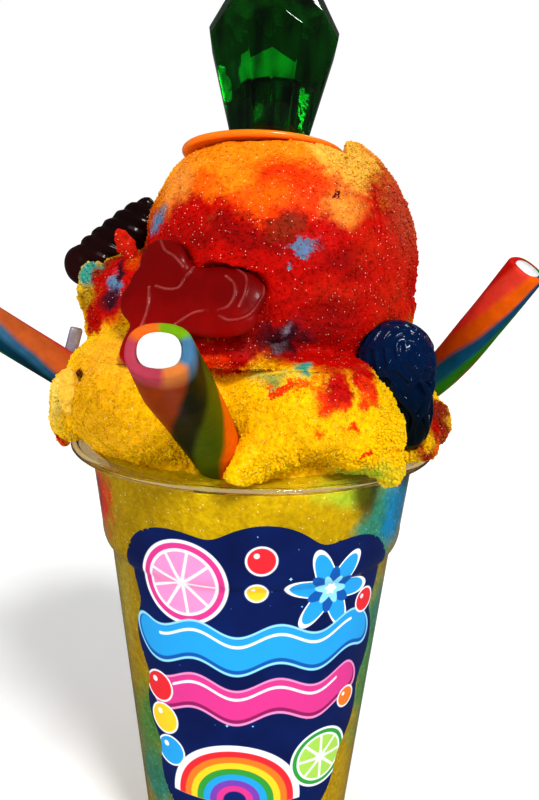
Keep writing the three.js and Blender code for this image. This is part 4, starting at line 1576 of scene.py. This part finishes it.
# %% [markdown]
# ## The gummies
# A gummy is poured into a mould and sticks to itself, so its lobes run softly together. Each one starts
# as a few stretched spheres, to which ridges are added as thin tubes laid on the surface, and a fine
# remesh with some smoothing fuses them into one body.

# %% Lobes, ridges and fusing
def lobe(place, radii, turn=(0, 0, 0)):
    """A stretched sphere, turned about Y, then about X, then about Z."""
    deselect()
    bpy.ops.mesh.primitive_uv_sphere_add(
        segments=40, ring_count=20, radius=1.0, location=Vector(place) * MM, scale=Vector(radii) * MM
    )
    piece = bpy.context.object
    piece.rotation_mode = "YXZ"
    piece.rotation_euler = [math.radians(angle) for angle in turn]
    settle(piece)
    return piece


def ridge(chain, radius):
    """A thin closed tube along a chain of places."""
    curve = bpy.data.curves.new("ridge", "CURVE")
    curve.dimensions = "3D"
    curve.bevel_depth = radius * MM
    curve.bevel_resolution = 2
    curve.use_fill_caps = True
    spline = curve.splines.new("POLY")
    spline.points.add(len(chain) - 1)
    for index, (point, place) in enumerate(zip(spline.points, chain)):
        point.co = (*place, 1)
        point.radius = 0.4 if index in (0, len(chain) - 1) else 1.0
    piece = bpy.data.objects.new("ridge", curve)
    bpy.context.scene.collection.objects.link(piece)
    only(piece)
    bpy.ops.object.convert(target="MESH")
    return piece


def fuse(name, parts, voxel, rounds):
    piece = join(name, parts)
    add_modifier(piece, "REMESH", mode="VOXEL", voxel_size=voxel * MM, use_smooth_shade=True)
    add_modifier(piece, "SMOOTH", factor=0.5, iterations=rounds)
    apply_modifiers(piece)
    return piece


# %% Red gummy
RED_LOBES = [
    ((-21.6, -26.4, 172.4), (7.6, 2.7, 6.1), (-15.7, 10, -34.8)),
    ((-25.4, -30.8, 163.8), (6.7, 2.7, 6.3), (-30.8, 0, -14)),
    ((-6.7, -33.8, 166.5), (10.0, 2.8, 7.1), (-30.8, 8, -14)),
    ((-15.8, -33.6, 163.2), (11.4, 2.6, 7.0), (-30.8, -8, -14)),
    ((-9, -36.4, 161.2), (10.4, 2.6, 5.2), (-30.8, 0, -14)),
    ((-26.8, -35, 155.6), (3.4, 2.5, 7.2), (-30.8, 20, -14)),
    ((-21.5, -28.8, 168), (8.6, 2.5, 6.5), (-30.8, 0, -14)),
    ((-14.5, -31.2, 167.6), (6.5, 2.3, 5.4), (-30.8, 0, -14)),
    ((-17, -33, 162.8), (13.0, 2.4, 6.6), (-30.8, -6, -14)),
]
RIDGE_RADIUS = 0.3
RIDGE_STEPS = 14
CREST_REACH = 1.2 * RIDGE_RADIUS * MM
# Ridge lines of the mould, as the pixels that they pass through.
RED_RIDGES = [
    [(160, 239), (165, 250), (174, 256), (183, 266)],
    [(196, 265), (185, 277), (179, 287), (168, 289), (156, 286)],
    [(149, 287), (147, 310), (141, 326)],
    [(208, 310), (193, 313), (175, 324)],
    [(240, 262), (257, 268), (264, 289), (258, 304), (247, 316), (230, 320), (219, 316)],
    [(236, 268), (246, 277), (245, 292), (239, 306)],
    [(226, 276), (234, 284), (234, 296), (228, 306), (218, 310)],
    [(120, 357), (127, 371)],
]
red_base = fuse("red_base", [lobe(*row) for row in RED_LOBES], 0.5, 60)
red_ridges, ridge_places = [], []
for pixels in RED_RIDGES:
    dense = smooth_path([(x / MM, y / MM, 0) for x, y in pixels], RIDGE_STEPS)
    chain = [place for place in (seen_on([red_base], (p.x, p.y)) for p in dense) if place]
    if len(chain) > 2:
        red_ridges.append(ridge(chain, RIDGE_RADIUS))
        ridge_places += chain
red_gummy = fuse("red_gummy_sweet", [red_base, *red_ridges], 0.26, 1)
# Each point is marked by how near it lies to a ridge, for the painted highlight along the crests.
crests = red_gummy.data.attributes.new("crest", "FLOAT", "POINT")
for vertex, mark in zip(red_gummy.data.vertices, crests.data):
    nearest = min((vertex.co - place).length for place in ridge_places)
    mark.value = max(0.0, 1.0 - nearest / CREST_REACH)
print("ridges on the red gummy:", len(red_ridges))


# %% Gummy candy
CREST_HIGHLIGHT, CREST_HIGHLIGHT_SHARE = screen_colour(240, 150, 140), 0.55


def gummy_material(name, foot, top, low, high, roughness=0.2, gloss=0.3):
    """Glossy gelatin whose tone changes between two heights, with painted highlights on marked crests."""
    material, tree, shader = new_material(
        name, Roughness=roughness, Subsurface_Weight=0.06, Subsurface_Scale=0.003,
        Coat_Weight=gloss, Coat_Roughness=0.06, Specular_IOR_Level=0.08,
    )
    place = object_place(tree)
    height = node(tree, "ShaderNodeSeparateXYZ", {"Vector": place}).outputs["Z"]
    rise = stretched(tree, height, low * MM, high * MM)
    cloud = noise(tree, place, 150.0, 3.0)
    share = maths(tree, "ADD", rise, maths(tree, "MULTIPLY_ADD", cloud, 0.8, -0.4), clamp=True)
    # Painted highlight: the marked crests are painted pale, broken up by noise.
    crest = node(tree, "ShaderNodeAttribute", attribute_name="crest").outputs["Fac"]
    broken = maths(tree, "MULTIPLY", crest, stretched(tree, noise(tree, place, 160.0, 2.0), 0.3, 0.5))
    pale = maths(tree, "MULTIPLY", broken, CREST_HIGHLIGHT_SHARE)
    paint(tree, shader, blended(tree, pale, blended(tree, share, foot, top), CREST_HIGHLIGHT))
    emboss(tree, shader, noise(tree, place, 260.0, 2.0), 0.5, 0.25)
    return material


RUBY, GARNET = screen_colour(162, 6, 2), screen_colour(112, 2, 3)
red_gelatin = gummy_material("red gelatin", RUBY, GARNET, 150, 166, roughness=0.34, gloss=0.06)
finish_piece(red_gummy, red_gelatin, "red_gummy", "red_gummy")

# %% [markdown]
# ## The blue gummy
# The blue gummy is a ball on a narrow foot, wound with strands that spread from its crown like a skein.
# The strands run over the ball's surface from the crown down, close side by side, and a few thicker
# ones hang down the foot.

# %% Blue gummy
BLUE_LOBES = [
    ((34, -25, 149.4), (9.4, 8.0, 10.2)),
    ((36.6, -26.5, 140.5), (6.0, 6.4, 8.8)),
    ((37.4, -28.5, 134.2), (4.4, 4.4, 5.0)),
]
CROWN = Vector((0.25, -0.62, 0.74)).normalized()
STRANDS, STRAND_LINKS, BLUE_STRAND = 26, 32, 0.55
FOOT_STRANDS, FOOT_LINKS, FOOT_STRAND = 11, 12, 0.9
FOOT_TOP, FOOT_TIP = Vector((35.8, -26.2, 147)), Vector((37.4, -28.5, 131))
FOOT_WIDE, FOOT_THIN = 6.9, 3.0
crown_side = CROWN.cross(Vector((1, 0, 0))).normalized()
crown_up = CROWN.cross(crown_side)


def strand(index):
    """One strand from the crown over the ball and down into the foot."""
    place, radii = BLUE_LOBES[0]
    around = math.tau * index / STRANDS
    chain = []
    for step in range(STRAND_LINKS):
        fall = math.radians(8 + 5 * step)
        swirl = around + 0.3 * math.sin(fall * 6.5 + index * 1.7) + 0.4 * fall
        out = crown_side * math.cos(swirl) + crown_up * math.sin(swirl)
        direction = CROWN * math.cos(fall) + out * math.sin(fall)
        chain.append(Vector(place) * MM + Vector([d * r * MM for d, r in zip(direction, radii)]))
    return chain


def foot_strand(index):
    """One strand that hangs from the ball down the foot, wavering as it goes."""
    chain = []
    for step in range(FOOT_LINKS):
        fall = step / (FOOT_LINKS - 1)
        middle = FOOT_TOP.lerp(FOOT_TIP, fall)
        around = math.tau * index / FOOT_STRANDS + 0.35 * math.sin(fall * 6 + index * 2.1)
        reach = FOOT_WIDE + (FOOT_THIN - FOOT_WIDE) * fall ** 2
        chain.append((middle + Vector((math.cos(around), math.sin(around), 0)) * reach) * MM)
    return chain


blue_base = fuse("blue_base", [lobe(*row) for row in BLUE_LOBES], 0.5, 20)
blue_strands = [ridge(strand(index), BLUE_STRAND) for index in range(STRANDS)]
blue_strands += [ridge(foot_strand(index), FOOT_STRAND) for index in range(FOOT_STRANDS)]
blue_gummy = fuse("blue_gummy_sweet", [blue_base, *blue_strands], 0.24, 1)
blue_gelatin = gummy_material("blue gelatin", screen_colour(0, 12, 18), screen_colour(0, 28, 66), 134, 152)
finish_piece(blue_gummy, blue_gelatin, "blue_gummy", "blue_gummy")

# %% [markdown]
# ## The dark gummy
# The dark gummy is a twisted bar: five thick strands wind one and a half times round a slim core, and
# its lower end runs out into a blunt corner.

# %% Dark gummy
DARK_PLACE, DARK_TILT = Vector((-37, 6, 175)), math.radians(-38)
DARK_RADII = Vector((14.8, 6.4, 6.2))
DARK_STRANDS, DARK_LINKS, DARK_STRAND = 5, 29, 1.9
DARK_REACH, DARK_GIRTH, DARK_TWIST = 0.94, 0.82, 0.8
dark_turn = Matrix.Rotation(DARK_TILT, 3, "Y")


def dark_strand(index):
    """One strand that winds round the bar from end to end."""
    chain = []
    for step in range(DARK_LINKS):
        along = -DARK_REACH + 2 * DARK_REACH * step / (DARK_LINKS - 1)
        girth = DARK_GIRTH * (1 - along ** 4) ** 0.5
        around = math.tau * (index / DARK_STRANDS + DARK_TWIST * along)
        local = Vector((along, girth * math.cos(around), girth * math.sin(around))) * DARK_RADII
        chain.append((DARK_PLACE + dark_turn @ local) * MM)
    return chain


dark_parts = [lobe(DARK_PLACE, DARK_RADII * 0.92, (0, math.degrees(DARK_TILT), 0))]
dark_parts.append(lobe((-46.6, 5, 169), (4.6, 5.4, 5.4), (0, -20, 0)))
dark_parts += [ridge(dark_strand(index), DARK_STRAND) for index in range(DARK_STRANDS)]
dark_gummy = fuse("dark_gummy_sweet", dark_parts, 0.35, 4)
UMBER, SOOT = screen_colour(42, 12, 12), screen_colour(24, 6, 7)
dark_gelatin = gummy_material("dark gelatin", UMBER, SOOT, 166, 180, roughness=0.3, gloss=0.2)
finish_piece(dark_gummy, dark_gelatin, "dark_gummy", "dark_gummy")

# %% [markdown]
# ## The gem and its seat
# The gem is clear green hard candy, cast round a ribbed peg that stands on an orange plastic disc. The
# gem keeps the facets of its solid, with their edges melted a little round, and like the cup it casts no
# shadow. The disc is turned, with a raised rim, and the peg's ribs are boxes crossed at its middle.

# %% The peg's measures
PEG_RADIUS, PEG_HEIGHT, PEG_OFFSET = 6.6, 17.0, (2.4, -1.0)
RIBS, RIB_WIDTH, RIB_TURN = 4, 4.2, 0.2

# %% Disc and peg
half = DISC_THICKNESS / 2
disc = turned(
    "disc",
    [(1, -half), (DISC_RADIUS - 2.4, -half), (DISC_RADIUS - 1.4, -half + 0.15)]
    + arc(half, DISC_RADIUS - half, 0, -80, 80, 8)
    + [(DISC_RADIUS - 1.7, half - 0.05), (DISC_RADIUS - 2.1, half - 0.4), (1, half - 0.4)],
    128,
)
parts = [disc]
for i in range(RIBS):
    deselect()
    bpy.ops.mesh.primitive_cube_add(
        size=1.0, location=Vector((*PEG_OFFSET, PEG_HEIGHT / 2)) * MM,
        rotation=(0, 0, i * math.pi / RIBS + RIB_TURN),
        scale=Vector((2 * PEG_RADIUS, RIB_WIDTH, PEG_HEIGHT)) * MM,
    )
    rib = bpy.context.object
    settle(rib)
    add_modifier(rib, "BEVEL", width=0.6 * MM, segments=3)
    apply_modifiers(rib)
    parts.append(rib)
gem_seat = join("gem_seat", parts)
gem_seat.matrix_world = crown_frame
settle(gem_seat)
bpy.ops.object.shade_smooth_by_angle(angle=math.radians(35))

seat_material, tree, shader = new_material(
    "orange plastic", Roughness=0.28, Subsurface_Weight=0.15, Subsurface_Scale=0.003, Coat_Weight=0.3,
    Coat_Roughness=0.15,
)
cloud = noise(tree, object_place(tree), 60.0, 3.0)
paint(tree, shader, blended(tree, cloud, screen_colour(252, 118, 0), screen_colour(255, 146, 4)))
emboss(tree, shader, noise(tree, object_place(tree), 500.0, 2.0), 0.1, 0.3)
finish_piece(gem_seat, seat_material, "gem_base", "gem_base")

# %% Gem
gem = copy_of("gem", "candy_gem")
soften_edges(gem, 0.45, 12)
apply_modifiers(gem)
bpy.ops.object.shade_smooth_by_angle(angle=math.radians(14))
gem.visible_shadow = False

gem_material, tree, shader = new_material(
    "green hard candy", IOR=1.5, Transmission_Weight=1.0, Roughness=0.03
)
place = object_place(tree)
stretch = node(tree, "ShaderNodeMapping", {"Vector": place, "Scale": (1.0, 1.0, 0.25)}).outputs["Vector"]
bands = noise(tree, stretch, 120.0, 2.0, 0.6)
share = stretched(tree, bands, 0.42, 0.62)
paint(tree, shader, blended(tree, share, screen_colour(0, 28, 2), screen_colour(0, 120, 16)))
emboss(tree, shader, noise(tree, place, 130.0, 2.0), 1.0, 0.2)
finish_piece(gem, gem_material, "gem", "gem")

# %% [markdown]
# ## Closing the lesson
# The box of the solids and the box of the visual model are both printed, in millimetres.

# %% Sizes and finish
visual_box = [list(corner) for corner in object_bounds()]
for label, box in (("solids", cad_box), ("visual", visual_box)):
    print(label, [[round(value / MM, 1) for value in corner] for corner in box])
